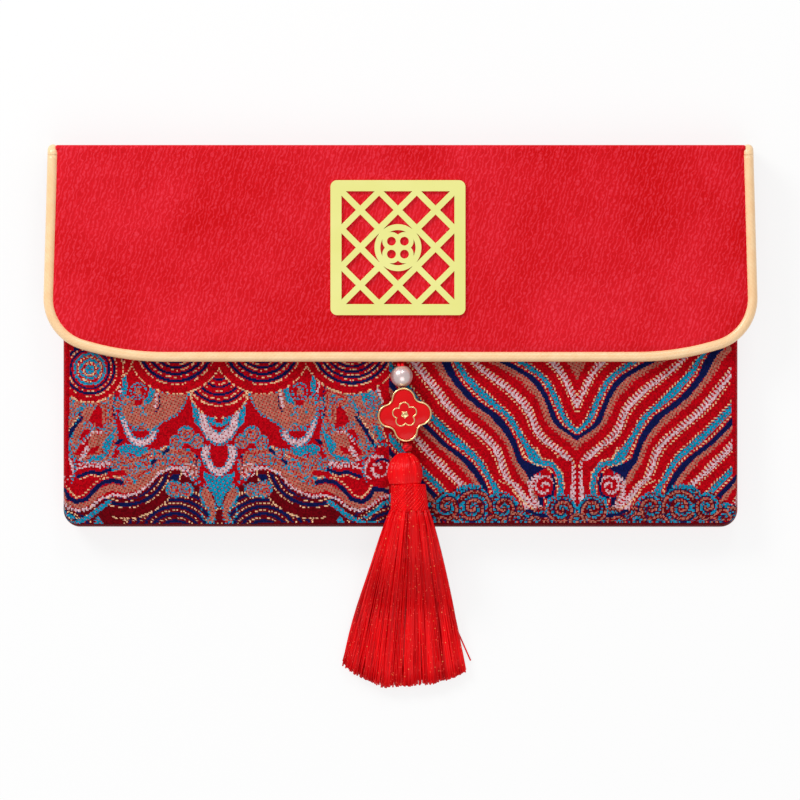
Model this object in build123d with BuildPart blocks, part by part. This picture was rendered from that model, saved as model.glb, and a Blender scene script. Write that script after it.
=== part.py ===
from build123d import *
from math import acos, atan2, cos, degrees, pi, radians, sin, sqrt, tan
import os

os.makedirs("parts", exist_ok=True)

# A flat gift-money pouch lies on its back: X across, Y towards the top fold, Z up out of the front.
# The origin is the middle of the back face. All sizes are millimetres.

# Pouch
pouch_width = 184.6
pouch_height = 104.3
pouch_corner = 3.2
pocket_depth = 5.0
mouth_drop = 6.0
leather = 0.8
brocade = 0.8
stiffener = 1.0
lining = 0.3
stiffener_inset = 0.6
gusset_wall = 0.6
gusset_bow = 0.75
gusset_reveal = 0.1
yoke_height = 16.0

# Flap and its piping
flap_overhang = 5.2
flap_depth = 59.2
flap_corner = 14.5
flap_belly = 78.0
flap_belly_turn = 17.0
flap_flare = 1.6
flap_lining = 0.4
flap_stiffener = 0.8
piping_diameter = 2.9
piping_flange = 5.0
piping_sides = 16
piping_end_round = 0.6

# Hidden magnetic closure
magnet_diameter = 10.0
magnet_rise = 11.5

# Fretwork plate
plate_side = 36.8
plate_thick = 0.8
plate_corner = 1.8
plate_border = 3.0
plate_drop = 28.1
plate_shift = -0.7
lattice_bar = 1.7
lattice_cells = 3
medallion_radius = 6.4
medallion_bar = 1.6
rosette_petal_radius = 2.5
rosette_bar = 1.3

# Pendant: doubled cord, pearl bead, enamel charm and tassel
pendant_lean = 4.5
pendant_shift = -0.1
cord_diameter = 1.0
cord_lap = 0.04
cord_sides = 8
cord_shown = 1.0
cord_bend = 0.8
cord_bend_inset = 0.35
cord_tail_wrap = 150.0
cord_tail_end = 0.25
pearl_diameter = 6.0
bead_bore = 2.4
charm_span = 14.8
charm_lobe = 3.3
charm_notch = 1.8
charm_thick = 4.4
charm_rim = 0.5
enamel_depth = 0.7
blossom_ring = 2.0
blossom_petal_radius = 1.35
blossom_petals = 5
blossom_wire = 0.34
blossom_heart = 0.8
knot_diameter = 2.84
knot_groove = 0.2
head_width = 9.7
head_height = 8.2
head_length = 8.5
head_crown = 2.6
head_dome = 0.55
band_width = 9.4
band_flare = 0.9
band_height = 7.9
band_length = 7.6
skirt_length = 48.2
skirt_width = 34.0
skirt_end_height = 3.2
skirt_spread = 0.85
skirt_locks = 14
skirt_groove = 0.35
thread_groove = 0.12
skirt_sections = 7
drape_room = 6.5
drape_run = 18.0

# Clearances
seam_gap = 0.05
fold_gap = 0.15
rest_gap = 0.3
bead_gap = 0.1

# Heights of the layers, from the back face up
z_back_stiffener = leather
z_back_lining = z_back_stiffener + stiffener
z_pocket = z_back_lining + lining
z_front_lining = z_pocket + pocket_depth
z_front_stiffener = z_front_lining + lining
z_brocade = z_front_stiffener + stiffener
z_front = z_brocade + brocade
piping_radius = piping_diameter / 2
cord_radius = cord_diameter / 2
z_piping = z_front + rest_gap + cord_diameter + seam_gap + piping_radius
z_flap_stiffener = z_piping - flap_stiffener / 2
z_flap_lining = z_flap_stiffener - flap_lining
z_flap_cover = z_flap_stiffener + flap_stiffener
z_flap = z_flap_cover + leather

# Lines across the pouch, from its bottom edge to the top fold
y_bottom = -pouch_height / 2
y_top = pouch_height / 2
y_fold = y_top - leather / 2
y_cover_end = y_fold - leather / 2 - fold_gap
y_lining_end = y_top - leather - flap_lining - rest_gap
y_mouth = y_top - mouth_drop
y_yoke = y_cover_end - yoke_height
y_flap_edge = y_top - flap_depth
panel_inset = gusset_bow + gusset_wall + seam_gap
panel_half = pouch_width / 2 - panel_inset
y_panel = y_bottom + panel_inset

# Lines of the flap's edge: straight sides that flare a little, round corners, a long belly curve
belly_turn = radians(flap_belly_turn)
flare = radians(flap_flare)
corner_x = pouch_width / 2 + flap_overhang - flap_corner
corner_y = y_flap_edge + flap_belly - (flap_belly - flap_corner) * cos(belly_turn)
belly_x = corner_x - (flap_belly - flap_corner) * sin(belly_turn)
cover_inset = piping_radius + sqrt(piping_radius**2 - (flap_stiffener / 2) ** 2) + fold_gap
stiffener_edge = piping_radius + piping_flange + seam_gap
cord_wrap = piping_radius + seam_gap + cord_radius
cord_slot_width = 2 * cord_diameter + 2 * rest_gap
cord_slot_depth = cord_wrap + cord_radius + rest_gap
y_spine_piping = y_top - (z_flap - z_piping)
y_piping_end = y_spine_piping - piping_radius - fold_gap


def flap_half_width(inset, y):
    """Half the flap's width at y, on its straight side, for an edge moved inwards by inset."""
    side_x = corner_x + (flap_corner - inset) * cos(flare)
    side_y = corner_y + (flap_corner - inset) * sin(flare)
    return side_x - (y - side_y) * tan(flare)


def draw_flap_edge(inset, y_end):
    """The flap's side, corner, belly and bottom lines, moved inwards by inset, up to y_end."""
    bottom = y_flap_edge + inset
    Line((0, bottom), (belly_x, bottom))
    CenterArc((belly_x, y_flap_edge + flap_belly), flap_belly - inset, -90, flap_belly_turn)
    round_turn = 90 - flap_belly_turn + flap_flare
    corner = CenterArc((corner_x, corner_y), flap_corner - inset, flap_belly_turn - 90, round_turn)
    Line(corner @ 1, (flap_half_width(inset, y_end), y_end))
    mirror(about=Plane.YZ)


def flap_outline(inset, y_end):
    """The flap's whole outline: its edge, closed by a straight line at y_end."""
    half = flap_half_width(inset, y_end)
    with BuildLine() as outline:
        draw_flap_edge(inset, y_end)
        Line((half, y_end), (-half, y_end))
    return outline.edges()


def panel_outline(half, y_low, y_high, corner):
    """A panel's outline with square upper corners and round lower ones."""
    with BuildLine() as outline:
        FilletPolyline((-half, y_high), (-half, y_low), (half, y_low), (half, y_high), radius=corner)
        Line((half, y_high), (-half, y_high))
    return outline.edges()


def gusset_section(side):
    """A strip's section, bowed outwards from the panels' edges; side is 1 for right, -1 for left."""
    low = gusset_reveal
    high = z_front - gusset_reveal
    middle = (low + high) / 2
    wall = side * gusset_wall
    bow = side * gusset_bow
    with BuildLine() as section:
        ThreePointArc((0, low), (bow, middle), (0, high))
        Line((0, high), (wall, high))
        ThreePointArc((wall, high), (wall + bow, middle), (wall, low))
        Line((wall, low), (0, low))
    return section.edges()


# Back: leather panel below the yoke, stiffener and lining inside it
with BuildPart() as back_panel:
    with BuildSketch():
        make_face(panel_outline(panel_half, y_panel, y_yoke - seam_gap, pouch_corner))
    extrude(amount=leather)
back_panel.part.label = "back_panel"
export_step(back_panel.part, "parts/back_panel.step")

inner_half = panel_half - stiffener_inset
y_inner = y_panel + stiffener_inset
inner_corner = pouch_corner - stiffener_inset

with BuildPart() as back_stiffener:
    with BuildSketch(Plane.XY.offset(z_back_stiffener)):
        make_face(panel_outline(inner_half, y_inner, y_lining_end, inner_corner))
    extrude(amount=stiffener)
back_stiffener.part.label = "back_stiffener"
export_step(back_stiffener.part, "parts/back_stiffener.step")

with BuildPart() as back_lining:
    with BuildSketch(Plane.XY.offset(z_back_lining)):
        make_face(panel_outline(inner_half, y_inner, y_lining_end, inner_corner))
    extrude(amount=lining)
back_lining.part.label = "back_lining"
export_step(back_lining.part, "parts/back_lining.step")

# Front: brocade over a stiffener that holds the lower magnet, with a lining behind
y_magnet = y_flap_edge + magnet_rise
magnet_seat = magnet_diameter / 2 + seam_gap

with BuildPart() as front_panel:
    with BuildSketch(Plane.XY.offset(z_brocade)):
        make_face(panel_outline(panel_half, y_panel, y_mouth, pouch_corner))
    extrude(amount=brocade)
front_panel.part.label = "front_panel"
export_step(front_panel.part, "parts/front_panel.step")

with BuildPart() as front_stiffener:
    with BuildSketch(Plane.XY.offset(z_front_stiffener)):
        make_face(panel_outline(inner_half, y_inner, y_mouth, inner_corner))
        with Locations((0, y_magnet)):
            Circle(magnet_seat, mode=Mode.SUBTRACT)
    extrude(amount=stiffener)
front_stiffener.part.label = "front_stiffener"
export_step(front_stiffener.part, "parts/front_stiffener.step")

with BuildPart() as front_lining:
    with BuildSketch(Plane.XY.offset(z_front_lining)):
        make_face(panel_outline(inner_half, y_inner, y_mouth, inner_corner))
    extrude(amount=lining)
front_lining.part.label = "front_lining"
export_step(front_lining.part, "parts/front_lining.step")

with BuildPart() as pocket_magnet:
    with BuildSketch(Plane.XY.offset(z_front_stiffener)):
        with Locations((0, y_magnet)):
            Circle(magnet_diameter / 2)
    extrude(amount=stiffener)
pocket_magnet.part.label = "pocket_magnet"
export_step(pocket_magnet.part, "parts/pocket_magnet.step")

# Gussets: bowed strips that join the back to the front along the sides and the bottom
gusset_x = panel_half + seam_gap
y_corner = y_panel + pouch_corner
corner_mid = pouch_corner + seam_gap
corner_centre = panel_half - pouch_corner

for side, side_name in ((-1, "left_gusset"), (1, "right_gusset")):
    side_plane = Plane(origin=(side * gusset_x, y_mouth, 0), x_dir=(1, 0, 0), z_dir=(0, -1, 0))
    with BuildPart() as side_gusset:
        with BuildSketch(side_plane):
            make_face(gusset_section(side))
        extrude(amount=y_mouth - y_corner - seam_gap)
    side_gusset.part.label = side_name
    export_step(side_gusset.part, "parts/" + side_name + ".step")

with BuildPart() as bottom_gusset:
    with BuildLine() as bottom_path:
        left_turn = CenterArc((-corner_centre, y_corner), corner_mid, 180, 90)
        right_turn = CenterArc((corner_centre, y_corner), corner_mid, 270, 90)
        Line(left_turn @ 1, right_turn @ 0)
    with BuildSketch(Plane(origin=(-gusset_x, y_corner, 0), x_dir=(1, 0, 0), z_dir=(0, -1, 0))):
        make_face(gusset_section(-1))
    sweep(path=bottom_path.wires()[0])
bottom_gusset.part.label = "bottom_gusset"
export_step(bottom_gusset.part, "parts/bottom_gusset.step")

# Yoke: the flap's leather tail, cut to the pouch's width and sewn to the back above the panel
with BuildPart() as flap_yoke:
    with BuildSketch():
        with Locations((0, y_yoke)):
            Rectangle(2 * panel_half, yoke_height, align=(Align.CENTER, Align.MIN))
    extrude(amount=leather)
flap_yoke.part.label = "flap_yoke"
export_step(flap_yoke.part, "parts/flap_yoke.step")

# Spine: the strip over the top edge, a round fold on each of its long sides
spine_half = flap_half_width(cover_inset, y_top)
spine_rise = z_flap - leather
z_spine_middle = z_flap / 2

with BuildPart() as spine_cover:
    with BuildSketch(Plane.YZ):
        with Locations((y_fold, z_spine_middle)):
            SlotCenterToCenter(spine_rise, leather, rotation=90)
    extrude(amount=spine_half, both=True)
spine_cover.part.label = "spine_cover"
export_step(spine_cover.part, "parts/spine_cover.step")

z_spine_lining = leather + rest_gap
spine_lining_rise = z_flap_lining - z_spine_lining
spine_lining_half = flap_half_width(2 * piping_radius + seam_gap, y_top)

with BuildPart() as spine_lining:
    with BuildSketch(Plane.YZ):
        with Locations((y_fold - leather / 2, z_spine_lining)):
            Rectangle(flap_lining, spine_lining_rise, align=(Align.MAX, Align.MIN))
    extrude(amount=spine_lining_half, both=True)
spine_lining.part.label = "spine_lining"
export_step(spine_lining.part, "parts/spine_lining.step")

spine_piping_x = flap_half_width(piping_radius, y_top)
z_spine_piping = bead_gap

with BuildPart() as spine_piping:
    with BuildSketch(Plane.XY.offset(z_spine_piping)):
        with Locations((-spine_piping_x, y_spine_piping), (spine_piping_x, y_spine_piping)):
            RegularPolygon(piping_radius, piping_sides)
    extrude(amount=z_piping + piping_radius - z_spine_piping)
    chamfer(spine_piping.edges().group_by(Axis.Z)[-1], piping_end_round)
spine_piping.part.label = "spine_piping"
export_step(spine_piping.part, "parts/spine_piping.step")

# Flap: leather cover, stiffener with the upper magnet, lining, and piping in the seam
with BuildPart() as flap_cover:
    with BuildSketch(Plane.XY.offset(z_flap_cover)):
        make_face(flap_outline(cover_inset, y_cover_end))
    extrude(amount=leather)
flap_cover.part.label = "flap_cover"
export_step(flap_cover.part, "parts/flap_cover.step")

with BuildPart() as flap_stiffener_board:
    with BuildSketch(Plane.XY.offset(z_flap_stiffener)):
        make_face(flap_outline(stiffener_edge, y_lining_end))
        with Locations((0, y_magnet)):
            Circle(magnet_seat, mode=Mode.SUBTRACT)
    extrude(amount=flap_stiffener)
flap_stiffener_board.part.label = "flap_stiffener"
export_step(flap_stiffener_board.part, "parts/flap_stiffener.step")

with BuildPart() as flap_magnet:
    with BuildSketch(Plane.XY.offset(z_flap_stiffener)):
        with Locations((0, y_magnet)):
            Circle(magnet_diameter / 2)
    extrude(amount=flap_stiffener)
flap_magnet.part.label = "flap_magnet"
export_step(flap_magnet.part, "parts/flap_magnet.step")

with BuildPart() as flap_piping:
    with BuildLine() as piping_path:
        draw_flap_edge(piping_radius, y_piping_end)
    piping_end = (flap_half_width(piping_radius, y_piping_end), y_piping_end, z_piping)
    piping_line = piping_path.wires()[0].moved(Location((0, 0, z_piping)))
    with BuildSketch(Plane(origin=piping_end, x_dir=(0, 0, 1), z_dir=(sin(flare), -cos(flare), 0))):
        RegularPolygon(piping_radius, piping_sides)
    sweep(path=piping_line)
    with BuildSketch(Plane.XY.offset(z_flap_stiffener)):
        make_face(flap_outline(piping_radius, y_piping_end))
        make_face(flap_outline(stiffener_edge - seam_gap, y_piping_end), mode=Mode.SUBTRACT)
    extrude(amount=flap_stiffener)
flap_piping.part.label = "flap_piping"
export_step(flap_piping.part, "parts/flap_piping.step")

with BuildPart() as flap_lining_sheet:
    with BuildSketch(Plane.XY.offset(z_flap_lining)):
        make_face(flap_outline(cover_inset, y_lining_end))
        with Locations((pendant_shift, y_flap_edge + piping_radius)):
            Rectangle(cord_slot_width, 2 * cord_slot_depth, mode=Mode.SUBTRACT)
    extrude(amount=flap_lining)
flap_lining_sheet.part.label = "flap_lining"
export_step(flap_lining_sheet.part, "parts/flap_lining.step")

# Fretwork plate: a square border, a diagonal trellis and a round medallion with a four-petal rosette
lattice_half = plate_side / 2 - plate_border
lattice_pitch = 2 * lattice_half / lattice_cells
trellis_length = 4 * lattice_half
trellis_side = 2 * lattice_half + plate_border
y_plate = y_top - plate_drop
plate_plane = Plane(origin=(plate_shift, y_plate, z_flap))

with BuildPart() as lattice_plate:
    with BuildSketch(plate_plane):
        for turn in (45, -45):
            for step in range(1 - lattice_cells, lattice_cells):
                with Locations((step * lattice_pitch, 0)):
                    Rectangle(trellis_length, lattice_bar, rotation=turn)
        Rectangle(trellis_side, trellis_side, mode=Mode.INTERSECT)
        Circle(medallion_radius)
        Circle(medallion_radius - medallion_bar, mode=Mode.SUBTRACT)
        with PolarLocations(rosette_petal_radius, 4, start_angle=45):
            Circle(rosette_petal_radius)
        with PolarLocations(rosette_petal_radius, 4, start_angle=45):
            Circle(rosette_petal_radius - rosette_bar, mode=Mode.SUBTRACT)
    extrude(amount=plate_thick)
    with BuildSketch(plate_plane):
        RectangleRounded(plate_side, plate_side, plate_corner)
        Rectangle(2 * lattice_half, 2 * lattice_half, mode=Mode.SUBTRACT)
    extrude(amount=plate_thick)
lattice_plate.part.label = "lattice_plate"
export_step(lattice_plate.part, "parts/lattice_plate.step")

# Stations along the pendant, measured from the piping's centre line down its leaning axis
lean_sin = sin(radians(pendant_lean))
lean_cos = cos(radians(pendant_lean))
across = (lean_cos, lean_sin, 0)
along = (lean_sin, -lean_cos, 0)
y_pivot = y_flap_edge + piping_radius
pearl_radius = pearl_diameter / 2
knot_radius = knot_diameter / 2
s_pearl = piping_radius + cord_shown + pearl_radius
s_charm_top = s_pearl + pearl_radius + bead_gap
s_charm = s_charm_top + charm_span / 2
s_charm_low = s_charm_top + charm_span
s_knot = s_charm_low + bead_gap + knot_radius
s_head = s_knot + knot_radius + bead_gap
z_beads = z_front + rest_gap + pearl_radius


def pendant_point(station, z):
    """A point on the pendant's axis, station millimetres from the piping's centre line."""
    return (pendant_shift + station * lean_sin, y_pivot - station * lean_cos, z)


def crosswise_plane(station):
    """The plane square to the pendant's axis; its X runs across, its Y runs up."""
    return Plane(origin=pendant_point(station, z_beads), x_dir=across, z_dir=along)


def draw_doubled_cord():
    """The section of a cord laid double: two many-sided strands side by side, pressed together by the lap."""
    strand = cord_radius * cos(pi / cord_sides) - cord_lap / 2
    with Locations((-strand, 0), (strand, 0)):
        RegularPolygon(cord_radius, cord_sides, rotation=180 / cord_sides)


# Cord: sewn into the flap's seam, wrapped under the piping, then up into the pearl's bore
cord_plane = Plane(origin=pendant_point(0, z_piping), x_dir=along, z_dir=(-lean_cos, -lean_sin, 0))
bend_s = s_pearl - pearl_radius + cord_bend_inset
bend_z = z_beads - z_piping
cord_end = s_pearl + pearl_radius - cord_radius
leave_turn = degrees(atan2(bend_z, bend_s) - acos(cord_wrap / sqrt(bend_s**2 + bend_z**2)))
leave_point = (cord_wrap * cos(radians(leave_turn)), cord_wrap * sin(radians(leave_turn)))
tail_turn = leave_turn - degrees(fold_gap / cord_wrap)
seam_turn = radians(-cord_tail_wrap)
seam_start = (cord_wrap * cos(seam_turn), cord_wrap * sin(seam_turn))
seam_end = (
    seam_start[0] + cord_tail_end * sin(seam_turn),
    seam_start[1] - cord_tail_end * cos(seam_turn),
)

with BuildPart() as cord_tail:
    with BuildLine(cord_plane) as tail_path:
        Line(seam_end, seam_start)
        CenterArc((0, 0), cord_wrap, -cord_tail_wrap, tail_turn + cord_tail_wrap)
    with BuildSketch(Plane(origin=tail_path.line @ 0, x_dir=across, z_dir=tail_path.line % 0)):
        draw_doubled_cord()
    sweep(path=tail_path.wires()[0])
cord_tail.part.label = "cord_tail"
export_step(cord_tail.part, "parts/cord_tail.step")

with BuildPart() as pendant_cord:
    with BuildLine(cord_plane) as cord_path:
        FilletPolyline(leave_point, (bend_s, bend_z), (cord_end, bend_z), radius=cord_bend)
    with BuildSketch(Plane(origin=cord_path.line @ 0, x_dir=across, z_dir=cord_path.line % 0)):
        draw_doubled_cord()
    sweep(path=cord_path.wires()[0])
pendant_cord.part.label = "pendant_cord"
export_step(pendant_cord.part, "parts/pendant_cord.step")

# Pearl: a drilled round bead that turns on the cord
bore_radius = bead_bore / 2
bore_half = sqrt(pearl_radius**2 - bore_radius**2)
pearl_plane = Plane(origin=pendant_point(s_pearl, z_beads), x_dir=across, z_dir=(0, 0, 1))

with BuildPart() as pearl_bead:
    with BuildSketch(pearl_plane):
        with BuildLine():
            ThreePointArc((bore_radius, -bore_half), (pearl_radius, 0), (bore_radius, bore_half))
            Line((bore_radius, bore_half), (bore_radius, -bore_half))
        make_face()
    revolve(axis=Axis(pendant_point(s_pearl, z_beads), along))
pearl_bead.part.label = "pearl_bead"
export_step(pearl_bead.part, "parts/pearl_bead.step")

# Charm: a four-lobed metal bead, drilled from lobe to lobe, with enamel sunk in both faces
lobe_offset = charm_span / 2 - charm_lobe
notch_offset = (lobe_offset + sqrt(2 * (charm_lobe + charm_notch) ** 2 - lobe_offset**2)) / 2
notch_turn = degrees(atan2(notch_offset - lobe_offset, notch_offset))
charm_half = charm_thick / 2
charm_plane = Plane(origin=pendant_point(s_charm, z_beads), x_dir=across, z_dir=(0, 0, 1))


def quatrefoil(inset):
    """Four round lobes joined by hollow curves, each arc tangent to the next, moved inwards."""
    with BuildLine() as outline:
        for quarter in range(4):
            turn = 90 * quarter
            lobe = Vector(0, lobe_offset).rotate(Axis.Z, turn)
            notch = Vector(notch_offset, notch_offset).rotate(Axis.Z, turn)
            CenterArc(lobe, charm_lobe - inset, turn + notch_turn, 180 - 2 * notch_turn)
            CenterArc(notch, charm_notch + inset, turn + 180 + notch_turn, 90 - 2 * notch_turn)
    return outline.edges()


def add_petals(radius, mode):
    """One disc for each petal of the blossom, set round its heart."""
    with PolarLocations(blossom_ring, blossom_petals, start_angle=90):
        Circle(radius, mode=mode)


with BuildPart() as charm_frame:
    with BuildSketch(charm_plane.offset(-charm_half)):
        make_face(quatrefoil(0))
    extrude(amount=charm_thick)
    for side in (-1, 1):
        with BuildSketch(charm_plane.offset(side * (charm_half - enamel_depth))):
            make_face(quatrefoil(charm_rim))
        extrude(amount=side * enamel_depth, mode=Mode.SUBTRACT)
    with BuildSketch(charm_plane.offset(charm_half - enamel_depth)):
        add_petals(blossom_petal_radius + blossom_wire / 2, Mode.ADD)
        add_petals(blossom_petal_radius - blossom_wire / 2, Mode.SUBTRACT)
        Circle(blossom_heart)
    extrude(amount=enamel_depth)
    with BuildSketch(crosswise_plane(s_charm_top)):
        Circle(bore_radius)
    extrude(amount=charm_span, mode=Mode.SUBTRACT)
charm_frame.part.label = "charm_frame"
export_step(charm_frame.part, "parts/charm_frame.step")

with BuildPart() as charm_enamel_front:
    with BuildSketch(charm_plane.offset(charm_half - enamel_depth)):
        make_face(quatrefoil(charm_rim + seam_gap))
        add_petals(blossom_petal_radius + blossom_wire / 2 + seam_gap, Mode.SUBTRACT)
        add_petals(blossom_petal_radius - blossom_wire / 2 - seam_gap, Mode.ADD)
        Circle(blossom_heart + seam_gap, mode=Mode.SUBTRACT)
    extrude(amount=enamel_depth - seam_gap)
charm_enamel_front.part.label = "charm_enamel_front"
export_step(charm_enamel_front.part, "parts/charm_enamel_front.step")

with BuildPart() as charm_enamel_back:
    with BuildSketch(charm_plane.offset(enamel_depth - charm_half)):
        make_face(quatrefoil(charm_rim + seam_gap))
    extrude(amount=seam_gap - enamel_depth)
charm_enamel_back.part.label = "charm_enamel_back"
export_step(charm_enamel_back.part, "parts/charm_enamel_back.step")

with BuildPart() as charm_cord:
    with BuildSketch(crosswise_plane(s_charm_top)):
        draw_doubled_cord()
    extrude(amount=charm_span)
charm_cord.part.label = "charm_cord"
export_step(charm_cord.part, "parts/charm_cord.step")

# Knot: the cord's end, tied round in three turns between the charm and the tassel
knot_cap = 0.92
knot_turn = 2 / 3
knot_outline = [(0, -knot_cap * knot_radius)]
for share, sink in (
    (-knot_cap, 0),
    (-knot_turn, 0),
    (-knot_turn / 2, knot_groove),
    (0, 0),
    (knot_turn / 2, knot_groove),
    (knot_turn, 0),
    (knot_cap, 0),
):
    knot_outline.append((sqrt(1 - share**2) * knot_radius - sink, share * knot_radius))
knot_outline.append((0, knot_cap * knot_radius))
knot_plane = Plane(origin=pendant_point(s_knot, z_beads), x_dir=across, z_dir=(0, 0, 1))

with BuildPart() as neck_knot:
    with BuildSketch(knot_plane):
        with BuildLine():
            Polyline(knot_outline, close=True)
        make_face()
    revolve(axis=Axis(pendant_point(s_knot, z_beads), along))
neck_knot.part.label = "neck_knot"
export_step(neck_knot.part, "parts/neck_knot.step")

# Tassel: a domed head, a netted band and a skirt that drapes over the pouch's bottom edge
x_tassel, y_knot, z_knot = pendant_point(s_knot, z_beads)
y_head = y_knot - knot_radius - bead_gap
y_band = y_head - head_length
y_skirt = y_band - band_length
z_lying = z_front + rest_gap


def tassel_plane(y, z):
    """The plane square to the tassel's axis at y; its X runs across, its Y runs up."""
    return Plane(origin=(x_tassel, y, z), x_dir=(1, 0, 0), z_dir=(0, -1, 0))


def lock_outline(width, height, groove):
    """An oval outline of thread locks: crests on the oval, and grooves sunk square to its edge."""
    corners = []
    for step in range(2 * skirt_locks):
        turn = pi * step / skirt_locks
        slope_x = cos(turn) / width
        slope_y = sin(turn) / height
        sink = groove * (step % 2) / sqrt(slope_x**2 + slope_y**2)
        corners.append((width / 2 * cos(turn) - sink * slope_x, height / 2 * sin(turn) - sink * slope_y))
    with BuildLine() as outline:
        Polyline(corners, close=True)
    return outline.edges()


head_stations = (0.0, 0.08, 0.25, 0.5, 0.8, 1.0)

with BuildPart() as tassel_head:
    for t in head_stations:
        swell = sqrt(1 - (1 - min(t / head_dome, 1)) ** 2)
        width = head_crown + (head_width - head_crown) * swell
        height = head_crown + (head_height - head_crown) * swell
        z_middle = z_knot + (z_lying + head_height / 2 - z_knot) * swell
        with BuildSketch(tassel_plane(y_head - t * head_length, z_middle)):
            make_face(lock_outline(width, height, thread_groove))
    loft(ruled=True)
tassel_head.part.label = "tassel_head"
export_step(tassel_head.part, "parts/tassel_head.step")

band_end = band_width + band_flare

with BuildPart() as tassel_band:
    for y, width in ((y_band, band_width), (y_skirt, band_end)):
        with BuildSketch(tassel_plane(y, z_lying + band_height / 2)):
            make_face(lock_outline(width, band_height, thread_groove))
    loft(ruled=True)
tassel_band.part.label = "tassel_band"
export_step(tassel_band.part, "parts/tassel_band.step")


def skirt_underside(y):
    """Height of the skirt's underside: level over the pouch, then a smooth fall to the table."""
    fall = (y_bottom - drape_room - y) / drape_run
    fall = min(max(fall, 0), 1)
    return z_lying - z_front * (1 - cos(pi * fall)) / 2


with BuildPart() as tassel_skirt:
    for section in range(skirt_sections):
        t = section / (skirt_sections - 1)
        y = y_skirt - t * skirt_length
        width = band_end + (skirt_width - band_end) * t**skirt_spread
        height = band_height + (skirt_end_height - band_height) * t
        with BuildSketch(tassel_plane(y, skirt_underside(y) + height / 2)):
            make_face(lock_outline(width, height, skirt_groove))
    loft(ruled=True)
tassel_skirt.part.label = "tassel_skirt"
export_step(tassel_skirt.part, "parts/tassel_skirt.step")
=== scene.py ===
import bpy
import numpy as np
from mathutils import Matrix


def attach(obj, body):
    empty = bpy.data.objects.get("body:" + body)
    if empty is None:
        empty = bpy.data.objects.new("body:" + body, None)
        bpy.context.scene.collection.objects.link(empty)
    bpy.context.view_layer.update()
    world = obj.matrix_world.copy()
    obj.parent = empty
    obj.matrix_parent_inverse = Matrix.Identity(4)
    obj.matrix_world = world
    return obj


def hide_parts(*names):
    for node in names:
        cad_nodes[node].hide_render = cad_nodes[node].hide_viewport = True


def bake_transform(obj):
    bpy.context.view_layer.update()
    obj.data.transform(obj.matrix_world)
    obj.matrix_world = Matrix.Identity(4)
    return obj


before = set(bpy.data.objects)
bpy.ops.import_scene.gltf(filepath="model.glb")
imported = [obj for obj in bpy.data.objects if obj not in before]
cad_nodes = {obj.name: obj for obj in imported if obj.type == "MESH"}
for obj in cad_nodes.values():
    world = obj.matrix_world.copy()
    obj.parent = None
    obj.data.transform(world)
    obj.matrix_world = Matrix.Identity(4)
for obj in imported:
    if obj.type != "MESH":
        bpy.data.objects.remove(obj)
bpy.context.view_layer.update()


# Back panel: one piece of red grained leatherette, cut square at the top and round at the lower corners.
# It lies against the table, and its three free edges are sewn to the gusset strip.
def linear(colour):
    """An sRGB hex colour as linear red, green, blue and alpha: the sRGB curve undone for each channel."""
    srgb = np.array([int(colour[start:start + 2], 16) for start in (0, 2, 4)]) / 255
    channels = np.where(srgb <= 0.04045, srgb / 12.92, ((srgb + 0.055) / 1.055) ** 2.4)
    return (*channels.tolist(), 1.0)


def add_node(tree, kind, inputs=None, stops=(), to=None, **settings):
    """Adds a node: settings are its properties, inputs its sockets' values or links, stops a ramp's colours.

    A node given as an input is linked by its Fac output, or else by its first one. Where to names a socket of
    the material's shader, the new node's first output is linked to that.
    """
    made = tree.nodes.new(kind)
    for name, value in settings.items():
        setattr(made, name, value)
    for socket, value in (inputs or {}).items():
        if isinstance(value, bpy.types.Node):
            value = value.outputs.get("Fac", value.outputs[0])
        if isinstance(value, bpy.types.NodeSocket):
            tree.links.new(value, made.inputs[socket])
        else:
            made.inputs[socket].default_value = value
    for index, (place, colour) in enumerate(stops):
        ramp = made.color_ramp
        stop = ramp.elements[index] if index < 2 else ramp.elements.new(place)
        stop.position, stop.color = place, linear(colour)
    if to:
        tree.links.new(made.outputs[0], tree.nodes["Principled BSDF"].inputs[to])
    return made


def start_finish(name, uv=None, **sockets):
    """A new material, its shader's constant sockets set: the material, its nodes, its pattern's coordinates.

    The coordinates are the piece's own, in metres, or those of its UV map where one is named.
    """
    finish = bpy.data.materials.new(name)
    finish.use_nodes = True
    tree = finish.node_tree
    for socket, value in sockets.items():
        tree.nodes["Principled BSDF"].inputs[socket.replace("_", " ")].default_value = value
    if uv:
        return finish, tree, add_node(tree, "ShaderNodeUVMap", uv_map=uv)
    return finish, tree, add_node(tree, "ShaderNodeTexCoord").outputs["Object"]


def add_object(name, data):
    """A new object in the scene, at the origin."""
    made = bpy.data.objects.new(name, data)
    bpy.context.scene.collection.objects.link(made)
    return made


def cell_corners(grid):
    """The four corners of each cell in a stack of grids, counter-clockwise."""
    return np.stack([grid[:, :-1, :-1], grid[:, :-1, 1:], grid[:, 1:, 1:], grid[:, 1:, :-1]], 3)


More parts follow.
